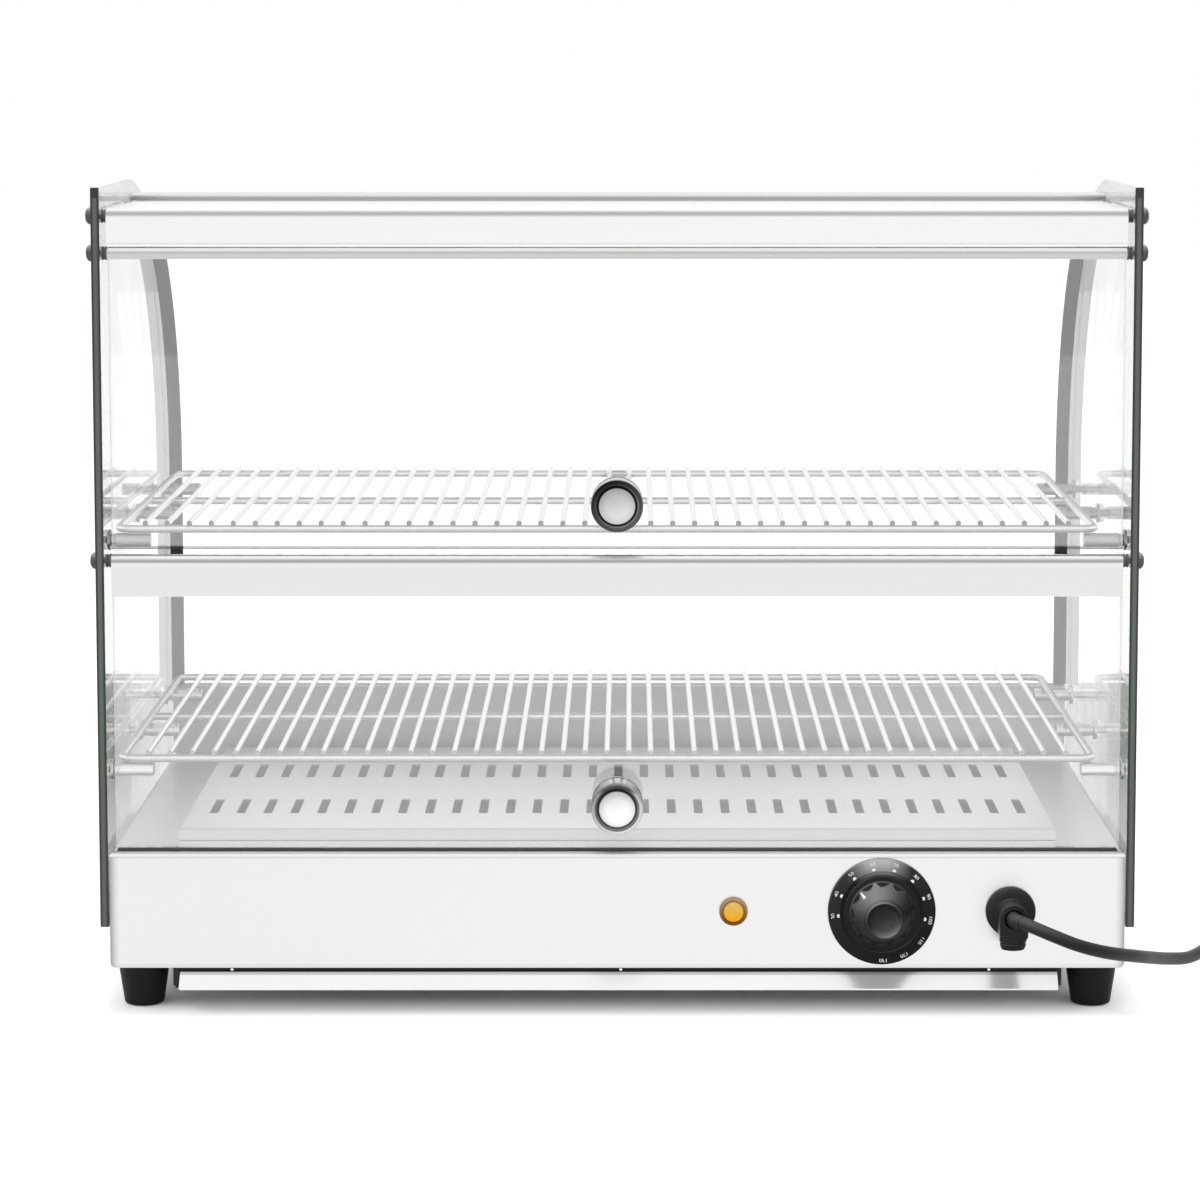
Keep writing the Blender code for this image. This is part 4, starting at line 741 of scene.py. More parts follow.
# The two flap rails are one part in one steel: the upper rail's darker greys are painted shade and the lower
# rail's paler ones painted light.
UPPER_RAIL = sheet_steel(
    "upper_flap_stainless", (0.60, 0.60, 0.595), 0.22, ALONG, edge=1.0, cloud=2.0,
    painted_light=flap_touch(UPPER_PIVOT, 0.80, 0.49, 0.49),
)
LOWER_RAIL = sheet_steel(
    "lower_flap_stainless", (0.86, 0.86, 0.855), 0.22, ALONG, edge=1.0, cloud=2.0,
    painted_light=flap_touch(LOWER_PIVOT, 0.97, 0.32, 0.67),
)
CHANNEL = sheet_steel("channel_stainless", (0.60, 0.60, 0.595), 0.40, ALONG, painted_light=channel_touch)
DECK = sheet_steel("deck_stainless", (0.90, 0.90, 0.89), 0.44, ALONG, edge=0.85, power=4.0, painted_light=deck_touch)
INNER = sheet_steel("mill_sheet", (0.92, 0.92, 0.91), 0.45, ALONG, edge=0.9, below=0.95)
TUBE = sheet_steel("heater_sheath", (0.46, 0.44, 0.43), 0.45, (300, 20, 300))
TRAY = sheet_steel("tray_stainless", (0.89, 0.89, 0.885), 0.20, ALONG, edge=0.9, metal=0.6, painted_light=tray_touch)


def plate_touch(f, x, y, z, tone):
    """Light from above lies across the top of the dial's plate."""
    lit = f.ramp(z, CONTROL_HEIGHT + 0.0165, CONTROL_HEIGHT + 0.0290)
    return f.between(lit * f.ramp((x - DIAL_X + 0.002).size(), 0.0190, 0.0060), tone, grey(0.42))


def bezel_touch(f, x, y, z, tone):
    """The lamp's rim is clear brown plastic, with painted light making it paler at its top."""
    up = f.ramp(z, CONTROL_HEIGHT - 0.006, CONTROL_HEIGHT + 0.007)
    return f.between(up, (0.20, 0.065, 0.003), (0.36, 0.26, 0.13))


def knob_touch(middle, face):
    """A flap knob's front, lit from below left. The dome takes face as its grey, and the ring takes 0."""

    def painted_light(f, x, y, z, tone):
        up = z - middle
        out = (x * x + up * up) ** 0.5
        low = f.ramp(up * 0.8 - x * 0.5, 0.013, -0.013)
        if face:
            centre = f.ramp(out, 0.0106, 0.0060)
            pale = f.between(low, grey(face - 0.16), grey(min(1.0, face + 0.10)))
            return f.between(centre, f.between(low, grey(face * 0.55), grey(face * 0.85)), pale)
        line = f.ramp(out, 0.0116, 0.0109)
        if middle > 0.2:
            bead = f.ramp((out - 0.0121).size(), 0.0007, 0.0002) * low * 0.6
            body = f.between(bead, f.between(low, grey(0.014), grey(0.085)), grey(0.30))
            return f.between(line, body, grey(0.015))
        cove = f.between(low, grey(0.06), grey(0.22))
        edge = f.between(low, grey(0.26), grey(0.62))
        body = f.between(f.ramp(out, 0.0126, 0.0132), cove, edge)
        brow = f.ramp(up, 0.0085, 0.0110) * f.ramp(out, 0.0145, 0.0138)
        return f.between(line.at_least(brow * 0.9), body, grey(0.05))

    return painted_light


CHROME = plated("bright_plating")
PEG = plated("peg_plating", (0.90, 0.90, 0.89), 0.20, 0.34, 1.5, 0.45, peg_touch)
WIRE = plated("shelf_wire", (1.0, 1.0, 0.99), 0.26, 0.66, 3.0, 0.88)
SHELF_FRAME = plated("shelf_frame_bar", (0.96, 0.96, 0.95), 0.30, 0.22, 2.2, 0.45, tube_touch)
CUT_END = plated("cut_wire_end", rough=0.45, painted_light=cut_touch)
KNOB_SIDE = plated("knob_side", (0.84, 0.84, 0.83), 0.14, 0.45, 2.0, 0.5)
# The two flap knobs are one part: the upper knob's darker ring and dome are painted shade, and the lower
# knob's paler ones painted reflection of the bright deck.
KNOB_RINGS = {
    "upper": plated("upper_knob_ring", rough=0.24, painted_light=knob_touch(UPPER_KNOB, 0)),
    "lower": plated("lower_knob_ring", rough=0.20, painted_light=knob_touch(LOWER_KNOB, 0)),
}
KNOB_FACES = {
    "upper": plated("upper_knob_dome", rough=0.34, painted_light=knob_touch(UPPER_KNOB, 0.62)),
    "lower": plated("lower_knob_dome", rough=0.34, painted_light=knob_touch(LOWER_KNOB, 0.86)),
}
BOLT = plated("bolt_head", (0.085, 0.09, 0.085), 0.30, 0.5, 1.5, painted_light=bolt_touch)
# sheen sets how strong each moulding's painted highlight is.
SPACER = moulded("dark_spacer", (0.07, 0.072, 0.07), 0.40, sheen=0.7)
SEAL = moulded("seal_rubber", (0.035, 0.036, 0.038), 0.55)
FOOT = moulded("foot_rubber", (0.007, 0.007, 0.0075), 0.50, 500.0, 0.2, specular=0.12)
CORD = moulded("cord_sheath", (0.010, 0.010, 0.011), 0.42, 600.0, 0.12, specular=0.12, sheen=0.28)
TIE = moulded("tie_band", (0.03, 0.03, 0.03), 0.55)
GLAND = moulded("gland_moulding", (0.008, 0.008, 0.009), 0.34, 500.0, 0.08, specular=0.10, sheen=0.22)
DIAL = moulded(
    "dial_moulding", (0.005, 0.005, 0.006), 0.34, 700.0, 0.02, specular=0.05, sheen=0.5, painted_light=plate_touch
)
GRIP = moulded(
    "grip_moulding", (0.008, 0.008, 0.009), 0.32, 600.0, 0.04, specular=0.10, sheen=0.75, painted_light=grip_touch
)
PAINTED = moulded("black_paint", (0.012, 0.012, 0.012), 0.40)
CERAMIC = moulded("pale_ceramic", (0.78, 0.75, 0.68), 0.50, specular=0.4)
BEZEL = moulded("lamp_rim", (0.30, 0.13, 0.035), 0.30, 500.0, 0.05, specular=0.12, painted_light=bezel_touch)


def amber_lens():
    f = Finish("amber_lens")
    where, x, y, z = f.place()
    up = z - CONTROL_HEIGHT
    facets = f.node("ShaderNodeTexVoronoi", {"feature": "F1"}, Vector=where, Scale=620.0)
    # Painted light: the lens is a deeper amber below and paler above, and its slight glow stands in for light
    # coming through it.
    colour = f.between(f.ramp(up, -0.0040, 0.0052), (0.86, 0.42, 0.0), (0.62, 0.44, 0.13))
    colour = f.between(facets * 0.35, colour, (0.42, 0.18, 0.006))
    f.shader.inputs["Emission Strength"].default_value = 0.12
    f.shader.inputs["Specular IOR Level"].default_value = 0.1
    return f.set(Base_Color=colour, Emission_Color=colour, Roughness=0.30, Normal=f.bump(facets, 0.4, 0.0006))


def printed_white():
    f = Finish("white_print")
    worn = f.noise(f.place()[0], 900.0, 2.0)
    return f.set(Base_Color=f.between(worn, (0.80, 0.80, 0.79), (0.95, 0.95, 0.94)), Roughness=0.45)


LENS = amber_lens()
PRINT = printed_white()


def side_edges(f, x, y, z):
    """A side glass: dark ground edges at its front and foot, pale ones round its bow."""
    far, up = y - NEAR - BOW_DEPTH, z - BOW_HEIGHT
    bow = ((far**2 + up**2) ** 0.5 > BOW_RADIUS - 0.0008) * (far > 0) * (up > 0)
    bow = bow.at_least(far > BOW_RADIUS - 0.0007)
    return (y < NEAR + 0.0006).at_least(z < 0.0519), bow.at_least(z > TOP - 0.0006)


def bow_edges(f, x, y, z):
    """The curved glass is pale at its ends, and nothing on it is dark."""
    return x * 0, x.size() > 0.2920


def door_edges(f, x, y, z):
    """The flaps' foot edges read as grey lines, their ends as pale ones."""
    foot = (z < 0.2738) * (z > 0.2680)
    return foot * 0.34, x.size() > 0.2907


def side_edge_colour(f, x, y, z):
    """Ground edge: grey above and below, green between, with a dark line down each side."""
    green = f.ramp(z, 0.42, 0.18) * f.ramp(z, 0.125, 0.175)
    body = f.between(green, (0.078, 0.076, 0.070), (0.066, 0.100, 0.072))
    inner, outer = f.ramp(x.size(), 0.2966, 0.2960), f.ramp(x.size(), 0.2984, 0.2990)
    return f.between(inner.at_least(outer).at_least(z > 0.4745), body, (0.010, 0.014, 0.010))


def dark_edge_colour(f, x, y, z):
    return (0.035, 0.047, 0.040)


SIDE_PANE = pane("side_glass", 0.04, 0.9, side_edge_colour, 0.35, side_edges)
BOW_PANE = pane("curved_glass", 0.004, 0.05, dark_edge_colour, 0.5, bow_edges)
DOOR_PANE = pane("door_glass", 0.12, 0.5, dark_edge_colour, 0.35, door_edges)


def stand(piece, material, slot, *nodes, body="cabinet"):
    """Finishes a piece, hangs it on its body, and lets it stand for the frame's nodes. Its slot is not used.
    """
    flattened(piece)
    if material:
        give(material, piece)
    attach(piece, body)
    if nodes:
        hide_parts(*nodes)
    return piece


give(INNER, NODES["base_floor"])
give(TUBE, NODES["heater_element"])
give(CERAMIC, NODES["terminal_block"], NODES["thermostat_body"])
give(PAINTED, NODES["tray_runner_left"], NODES["tray_runner_right"])
give(TIE, NODES["coil_tie"])
give(CORD, cord)
give(GLAND, plug)
give(CHROME, plug_pins)


# Glass


def side_pane_outline():
    corner, foot = 0.002, 0.0513
    return (
        arc((corner, foot + corner), corner, 180, 270, 5)
        + arc((0.320 - corner, foot + corner), corner, 270, 360, 5)
        + arc((BOW_DEPTH, BOW_HEIGHT), BOW_RADIUS, 0, 90, 48)
        + arc((corner, TOP - corner), corner, 90, 180, 5)
    )


def bow_strip(inner, outer, start, foot, steps=56):
    """Section that follows the bow from near the roof and then drops straight to its foot."""
    centre = (BOW_DEPTH, BOW_HEIGHT)
    upper = arc(centre, outer, 90 - start, 0, steps)
    lower = arc(centre, inner, 0, 90 - start, steps)
    return upper + [(centre[0] + outer, foot), (centre[0] + inner, foot)] + lower


def glass_panes():
    for word, side in (("left", -1), ("right", 1)):
        middle = side * (SIDE + GLASS / 2)
        pane_piece = section(f"side_pane_{word}", side_pane_outline(), GLASS, middle, 0.0005, 18)
        stand(pane_piece, SIDE_PANE, "side_glass", f"side_glass_{word}")
    bow = section("bow_pane", bow_strip(0.182, 0.186, 6, 0.134), 0.5848, edge=0.0004)
    stand(bow, BOW_PANE, "curved_glass", "customer_glass")
    for level, low, top in (("upper", 0.2722, 0.4430), ("lower", 0.0975, 0.2656)):
        half, step, notch = 0.2912, 0.2795, 0.0026
        outline = [
            (-half, low), (half, low), (half, top - notch), (step, top - notch), (step, top),
            (-step, top), (-step, top - notch), (-half, top - notch),
        ]
        place = deep(0, FLAP_DEPTH, 0)
        flap = cutout(f"{level}_flap_pane", [outline], 0.004, place, TOWARDS_OPERATOR, 0.0004, 18)
        stand(flap, DOOR_PANE, "door_glass", f"{level}_door_glass", body=f"{level}_door")


def sill_strip():
    """Black strip on the base that the lower flap closes over."""
    strip = slab("sill_strip", deep(-0.2900, 0.0026, 0.09645), deep(0.2900, 0.0082, 0.0970))
    stand(eased(strip, 0.0002), SEAL, "seal_rubber")


def glass_seals():
    """Black channel on each side edge of the curved glass: a web and two lips."""
    for word, side in (("left", -1), ("right", 1)):
        web = section("web", bow_strip(0.1805, 0.1875, 10, 0.1421), 0.0020, side * 0.2937, 0.0004)
        lips = [
            section("lip", bow_strip(inner, outer, 10, 0.1421), 0.0060, side * 0.2900, 0.0004)
            for inner, outer in ((0.1805, 0.1817), (0.1863, 0.1875))
        ]
        stand(united(f"bow_seal_{word}", [web, *lips]), SEAL, "seal_rubber", f"glass_seal_{word}")


# Folded steel


def channel_piece():
    """Folded channel with rounded hems; the curved glass stands in its slot."""
    near, far, foot, top = 0.300, 0.3135, 0.0967, 0.1418
    slot_near, slot_far, sill, sheet, hem = 0.3037, 0.3083, 0.1335, 0.0012, 0.0016
    outline = [
        (near, foot),
        *arc((near + hem, top - hem), hem, 180, 90, 6),
        *arc((slot_near - 0.0008, top - 0.0008), 0.0008, 90, 0, 3),
        (slot_near, sill),
        (slot_far, sill),
        *arc((slot_far + 0.0008, top - 0.0008), 0.0008, 180, 90, 3),
        *arc((far - hem, top - hem), hem, 90, 0, 6),
        (far, foot),
        (far - sheet, foot),
        (far - sheet, top - sheet),
        (slot_far + sheet, top - sheet),
        (slot_far + sheet, sill - sheet),
        (slot_near - sheet, sill - sheet),
        (slot_near - sheet, top - sheet),
        (near + sheet, top - sheet),
        (near + sheet, foot),
    ]
    piece = section("glass_channel", outline, 0.588)
    stand(piece, CHANNEL, "rail_steel", "customer_channel")


def roof_pieces():
    """Roof sheet folded down into the header band, its end blocks, and the rail over the joint."""
    sheet, top, near, low, bend, lip, far = 0.0012, 0.468, 0.002, 0.4467, 0.003, 0.0075, 0.138
    turn = 0.0009
    crease = low + 0.0012
    outer = [
        (near + lip, low),
        *arc((near + turn, low + turn), turn, 270, 180, 9),
        (near, crease),
        (near + 0.0004, crease + 0.0003),
        (near + 0.0004, crease + 0.0007),
        (near, crease + 0.0010),
        *arc((near + bend, top - bend), bend, 180, 90, 9),
        (far, top),
    ]
    inner = [
        (far, top - sheet),
        *arc((near + bend, top - bend), bend - sheet, 90, 180, 9),
        *arc((near + turn, low + turn), turn - sheet, 180, 270, 9),
        (near + lip, low + sheet),
    ]
    roof = section("roof_sheet", outer + inner, 2 * RAIL_HALF)
    give(HEADER, roof)
    blocks = []
    for side in (-1, 1):
        ends = sorted((side * 0.2912, side * 0.2855))
        block = slab("block", deep(ends[0], 0.0034, 0.4520), deep(ends[1], 0.0140, 0.4664))
        blocks.append(eased(block, 0.0006))
        give(PAINTED, blocks[-1])
    stand(united("roof_sheet", [roof, *blocks]), None, "rail_steel", "roof_plate")
    near, far, foot, top, edge = 0.130, 0.152, 0.4683, 0.4723, 0.0014
    outline = [
        (near, foot),
        (far, foot),
        *arc((far - edge, top - edge), edge, 0, 90, 6),
        (near + 0.0090, top),
        (near + 0.0084, top - 0.0006),
        (near + 0.0074, top - 0.0006),
        (near + 0.0068, top),
        *arc((near + edge, top - edge), edge, 90, 180, 6),
    ]
    rail = section("roof_joint_rail", outline, 0.5894)
    stand(rail, RAIL, "rail_steel", "roof_rail")


def flap_rail(level, pivot, drop):
    """Sheet rolled over the pins and closed down on both faces of the flap's glass."""
    shoulder = math.degrees(math.acos(0.0030 / 0.0037))
    outer = arc((0, 0), 0.0037, -shoulder, 180 + shoulder, 26)
    inner = arc((0, 0), 0.0023, 180, 0, 14)
    toe = -drop
    outline = [
        *outer,
        (-0.0030, toe + 0.0004),
        (-0.0028, toe),
        (-0.0023, toe),
        *inner,
        (0.0023, toe),
        (0.0028, toe),
        (0.0030, toe + 0.0004),
    ]
    piece = cutout(f"{level}_flap_rail", [outline], 2 * RAIL_HALF, deep(0, FLAP_DEPTH, pivot), SIDE_ON)
    metal = UPPER_RAIL if level == "upper" else LOWER_RAIL
    stand(piece, metal, "rail_steel", f"{level}_door_rail", body=f"{level}_door")


def mark(piece, kind, wanted):
    """Selects the faces, edges or corners that pass a test, on a piece in edit mode."""
    bpy.ops.mesh.select_all(action="DESELECT")
    form = bmesh.from_edit_mesh(piece.data)
    for part in getattr(form, kind):
        part.select_set(wanted(part))
    bmesh.update_edit_mesh(piece.data)


def open_box(name, low, high, side):
    """A box in edit mode without its top (side 1) or its bottom (side -1)."""
    piece = slab(name, low, high)
    bpy.ops.object.mode_set(mode="EDIT")
    mark(piece, "faces", lambda face: face.normal.z * side > 0.5)
    bpy.ops.mesh.delete(type="ONLY_FACE")
    return piece


def rounded(piece, wanted, radius, segments):
    """Rounds the edges whose two ends pass a test."""
    mark(piece, "edges", lambda edge: wanted(*(corner.co for corner in edge.verts)))
    bpy.ops.mesh.bevel(offset=radius, segments=segments, profile=0.5, affect="EDGES")


def thickened(piece, sheet):
    bpy.ops.object.mode_set(mode="OBJECT")
    return modified(piece, "SOLIDIFY", thickness=sheet, offset=-1, use_even_offset=True)


def folded_box(name, low, high, corner, hem):
    """A box folded from sheet, open below, with rounded upright corners and a rounded top edge."""
    piece = open_box(name, low, high, -1)
    rounded(piece, upright, corner, 8)
    rounded(piece, lambda a, b: min(a.z, b.z) > high[2] - 0.0001, hem, 6)
    return thickened(piece, 0.0012)


def upright(a, b):
    return abs(a.z - b.z) > 0.001 and abs(a.x - b.x) + abs(a.y - b.y) < 0.0001


def base_piece():
    """Folded base with its heat window and the holes of the three controls."""
    half, foot, corner = BASE_HALF, BASE_FOOT, 0.003
    piece = folded_box("base_shell", deep(-half, 0, foot), deep(half, BASE_DEPTH, BASE_TOP), 0.0045, 0.0035)
    for side in (-1, 1):
        turn = arc((side * (half - corner), foot + corner), corner, 270, 270 + side * 90, 8)
        beyond = [(side * (half + corner), foot + corner), (side * (half + corner), foot - corner)]
        outline = [*turn, *beyond, (side * (half - corner), foot - corner)]
        cut_by(piece, cutout("corner", [outline], 0.33, deep(0, 0.16, 0), TOWARDS_OPERATOR))
    cut_by(piece, slab("window", deep(-0.235, 0.056, 0.090), deep(0.235, 0.2635, 0.100)))
    for x, radius in ((DIAL_X, 3.3), (LAMP_X, 7.7), (GLAND_X, 8.3)):
        cut_by(piece, on_front("bore", [(radius, -6), (radius, 6)], x, 40))
    smoothed(piece, 30)
    stand(piece, STEEL, "base_steel", "base_housing")


def deck_piece():
    """Slotted cover over the heater, with rounded edges."""
    low, high = deep(-0.2575, 0.030, 0.0967), deep(0.2575, 0.284, 0.1037)
    piece = folded_box("slotted_deck", low, high, 0.003, 0.0014)
    pitch, half, length = 0.016130, 0.00265, 0.0415
    one = slab("slot", deep(-half, -length / 2, 0.099), deep(half, length / 2, 0.106))
    slots = [copied(one, "slot", ((i - 15) * pitch, row, 0)) for row in (0.0940, 0.2040) for i in range(31)]
    bpy.data.objects.remove(one)
    cut_by(piece, united("slots", slots))
    smoothed(piece, 30)
    stand(piece, DECK, "deck_steel", "heater_deck")


def tray_piece():
    """Shallow pan whose near wall leans out as a pull lip with a rolled edge."""
    low, high = deep(-0.2540, 0, TRAY_FLOOR), deep(0.2555, 0.286, TRAY_TOP)
    piece = open_box("crumb_pan", low, high, 1)
    mark(piece, "verts", lambda corner: corner.co.y < 0 and corner.co.z < 0.020)
    bpy.ops.transform.translate(value=(0, -0.0095, 0))
    rounded(piece, lambda a, b: max(a.z, b.z) < 0.020, 0.0014, 4)
    thickened(piece, 0.001)
    smoothed(piece, 30)
    stand(piece, TRAY, "tray_steel", "crumb_tray", body="tray")
    # A black strip in the gap over the tray's lip, riding with the tray: painted shade, a dark piece that
    # stands in for the shade in that gap.
    stop = slab("tray_gap_shade", deep(-0.2545, 0.0022, 0.0246), deep(0.2550, 0.0036, 0.0275))
    stand(stop, PAINTED, "runner_black", body="tray")
    for word, side in (("left", -1), ("right", 1)):
        ends = sorted((side * 0.2546, side * 0.2582))
        tab = slab(f"runner_end_{word}", deep(ends[0], 0.0008, 0.0170), deep(ends[1], 0.0026, 0.0274))
        eased(tab, 0.0004)
        stand(tab, PAINTED, "runner_black")


# Fastenings through the side glasses


def glass_bolts():
    """Domed bolts with dark spacer rings, drawn from one set of profiles at their six places."""
    head = [(4.8, 300.2), (5, 300.8), (4.8, 301.8), (4, 302.9), (2.6, 303.6), (0.1, 303.9)]
    ring = [
        (3.8, 291.8), (4, 292.1), (4, 292.7), (3.4, 292.9), (3.4, 293.6), (4, 293.8), (4, 294.4),
        (3.8, 294.7), (0.1, 294.7),
    ]
    shank = [(2, 280), (2, 300.4), (0.1, 300.6)]
    rows = (
        ("header_bolt", 0.0075, 0.4640), ("upper_pivot", FLAP_DEPTH, UPPER_PIVOT),
        ("lower_pivot", FLAP_DEPTH, LOWER_PIVOT),
    )
    for name, depth, height in rows:
        for word, side in (("left", -1), ("right", 1)):
            pieces = []
            for profile, steps, material in ((head, 32, BOLT), (ring, 32, SPACER), (shank, 20, CHROME)):
                pieces.append(through_glass(name, profile, side, depth, height, steps))
                give(material, pieces[-1])
            stand(united(f"{name}_{word}_fitted", pieces), None, "hardware_chrome", f"{name}_{word}")


def shelf_pegs():
    """Shelf stubs: a flat head outside, a washer inside and a rounded peg with a shallow neck."""
    profile = [
        (3.2, 269.7), (3.8, 270), (4, 270.6), (4, 290), (3.6, 290.6), (3.6, 292), (4, 292.6), (5.6, 292.8),
        (6, 293.2), (6, 294.4), (5.7, 294.7), (2.2, 294.7), (2.2, 300.3), (4.7, 300.3), (5, 300.6),
        (4.9, 301.2), (4.2, 301.5), (0.1, 301.5),
    ]
    for word, side in (("left", -1), ("right", 1)):
        pegs, replaced = [], []
        for level, height in (("upper", 0.27622), ("lower", 0.14170)):
            for row, depth in (("near", 0.0170), ("middle", 0.14188), ("far", 0.26564)):
                pegs.append(through_glass("peg", profile, side, depth, height, 28))
                replaced.append(f"{level}_peg_{row}_{word}")
        stand(united(f"shelf_pegs_{word}", pegs), PEG, "hardware_chrome", *replaced)


# Flap knobs


def flap_knob(level, height):
    """Round pull: a waisted body, a coved ring round a bright dome, and a screw washer inside."""
    door = f"{level}_door"
    body = on_front("body", [
        (13.6, 2.3), (14.6, 2.8), (14.7, 5), (14.3, 5.8), (14.2, 20), (14.6, 21.2), (14.9, 22.4), (14.9, 24),
        (0.1, 24),
    ], 0, 64, height, FLAP_DEPTH)
    washer = on_front("washer", [
        (4, -4.2), (4.6, -4.1), (4.8, -3.5), (8.4, -3.4), (9, -3.1), (9, -2.6), (8.6, -2.3), (3.5, -2.3),
        (3.5, 2.3), (0.1, 2.3),
    ], 0, 48, height, FLAP_DEPTH)
    pull = united(f"{level}_flap_knob", [body, washer])
    stand(pull, KNOB_SIDE, "knob_chrome", f"{door}_knob", body=door)
    ring = on_front("ring", [
        (14.9, 24), (15, 25.6), (14.7, 26.6), (14, 27.2), (13.1, 27.3), (12.2, 26.8), (11.4, 26),
        (10.8, 25.6), (0.1, 25.6),
    ], 0, 64, height, FLAP_DEPTH)
    give(KNOB_RINGS[level], ring)
    dome = on_front("dome", [
        (10.6, 25.5), (10.6, 26.2), (10.3, 26.7), (9.7, 27), (8, 27.4), (5.5, 27.8), (2.8, 28), (0.1, 28.03),
    ], 0, 64, height, FLAP_DEPTH)
    give(KNOB_FACES[level], dome)
    stand(united(f"{level}_knob_front", [ring, dome]), None, "knob_cap", f"{door}_knob_cap", body=door)


# Wire shelves


def wire_shelf(level, height):
    """Welded rack: a bent frame, a bar under its middle, and 43 round-ended wires across."""
    half, near, far, bend = 0.2827, 0.015, 0.295, 0.008
    loop = []
    for x, y, start in (
        (half - bend, far - bend, 0),
        (bend - half, far - bend, 90),
        (bend - half, near + bend, 180),
        (half - bend, near + bend, 270),
    ):
        loop += arc((x, y), bend, start, start + 90, 8)
    frame_bar = line("frame_bar", [deep(x, y, height) for x, y in loop], BAR_RADIUS, True)
    ends = [deep(x, (near + far) / 2, height - 0.00075) for x in (-half, half)]
    bar = line("bar", ends, BAR_RADIUS)
    give(SHELF_FRAME, frame_bar, bar)
    length = far - near + BAR_RADIUS
    rise = height + 0.0033
    reach = length / MM
    profile = [
        (1.2, 0), (1.6, 0.2), (1.7, 0.6), (1.7, reach - 0.6), (1.6, reach - 0.2), (1.2, reach), (0.1, reach),
    ]
    first = turned("wire", profile, turn=(-QUARTER, 0, 0), steps=14)
    first.data.materials.append(WIRE)
    first.data.materials.append(CUT_END)
    for face in first.data.polygons:
        face.material_index = int(abs(face.normal.y) > 0.4)
    start = (near + far) / 2 - length / 2
    wires = [copied(first, "wire", deep((i - 21) * 0.0127, start, rise)) for i in range(43)]
    bpy.data.objects.remove(first)
    rack = united(f"{level}_wire_shelf", [frame_bar, bar, *wires])
    rack.location.x = SHELF_SHIFT
    settled(rack)
    stand(rack, None, "shelf_wire", f"{level}_shelf", body=f"{level}_rack")


# Controls


def dial_face():
    """Plate with a coned edge, its dots and plain numbers printed on it."""
    plate = on_front("dial_face", [
        (30.6, 0.3), (31.2, 0.7), (31.2, 1.3), (30.8, 1.8), (30, 2), (24.6, 2.7), (24, 2.7), (23.6, 2.3),
        (0.1, 2.3),
    ], DIAL_X, 96)
    stand(plate, DIAL, "dial_plastic", "dial_plate")
    marks = []
    angles = (185, 158, 129, 101, 74, 46, 18.5, -9.6, -36, -62.5, -88)
    for index, angle in enumerate(angles):
        if index < 8:
            place = on_dial(0.00255, angle, 0.0251)
            marks.append(turned("dot", [(1.1, 0), (1.1, 0.12), (0.1, 0.14)], place, TOWARDS_OPERATOR, 20))
        deselect()
        bpy.ops.object.text_add()
        words = bpy.context.object
        words.data.body = str(30 + 10 * index)
        words.data.align_x = "CENTER"
        words.data.align_y = "CENTER"
        words.data.size = 0.0034
        words.data.extrude = 0.00006
        words.data.resolution_u = 3
        bpy.ops.object.convert(target="MESH")
        words = bpy.context.object
        words.rotation_euler = (math.radians(97), 0, 0)
        settled(words)
        words.rotation_euler = (0, QUARTER - math.radians(angle), 0)
        words.location = on_dial(0.00232, angle, 0.0283)
        marks.append(settled(words))
    printed = united("dial_marks", marks)
    stand(printed, PRINT, "dial_plastic")


def dial_knob():
    """Flared knob with a row of finger scallops, a dished cap and a white pointer."""
    knob = on_front("dial_knob", [
        (3, -15), (3, 3), (21.6, 3), (22.2, 3.5), (22.2, 5.8), (21.7, 6.4), (19.3, 6.6), (18.7, 7), (18.2, 8),
        (16.6, 10.8), (15, 13.6), (13.4, 16), (12.2, 17.8), (11.4, 19), (11.25, 20.5), (11.25, 24.2),
        (11, 25.4), (10.4, 26), (9.7, 25.9), (9.1, 25.2), (8.2, 24.3), (6, 23.5), (0.1, 23.2),
    ], DIAL_X, 96)
    for i in range(12):
        middle = on_dial(0, POINTER + (i + 0.5) * 30, 0.0216)
        cut_by(knob, turned("scallop", [(5.2, 7.2), (5.2, 17), (4, 19)], middle, TOWARDS_OPERATOR, 36))
    smoothed(knob, 28)
    stand(knob, GRIP, "dial_knob_plastic", "thermostat_knob", body="dial")
    outline = [(-0.0010, -0.0028), (0.0010, -0.0028), (0.0003, 0.0026), (-0.0003, 0.0026)]
    pointer = cutout("pointer", [outline], 0.0006, turn=(math.radians(90 - 57), 0, 0), edge=0.00015)
    pointer.rotation_euler = (0, QUARTER - math.radians(POINTER), 0)
    pointer.location = on_dial(0.0114, POINTER, 0.0166)
    settled(pointer)
    stand(pointer, PRINT, "dial_knob_plastic", body="dial")


def lamp():
    """Pilot lamp: a clear rim round a faceted lens."""
    bezel = on_front("lamp_rim", [
        (7.6, -15), (7.6, 0.3), (7.9, 0.3), (8.2, 0.7), (8.2, 1.7), (7.8, 2.3), (7, 2.5), (6.4, 2.2),
        (6.1, 1.2), (0.1, 1.2),
    ], LAMP_X, 56)
    stand(bezel, BEZEL, "lamp_bezel", "pilot_lamp_bezel")
    dome = [(5.9, 1.3), (5.9, 2.2), (5.5, 2.9), (4.5, 3.4), (3, 3.8), (1.5, 4), (0.1, 4.02)]
    lens = on_front("lamp_lens", dome, LAMP_X, 48)
    stand(lens, LENS, "lamp_lens", "pilot_lamp_lens")


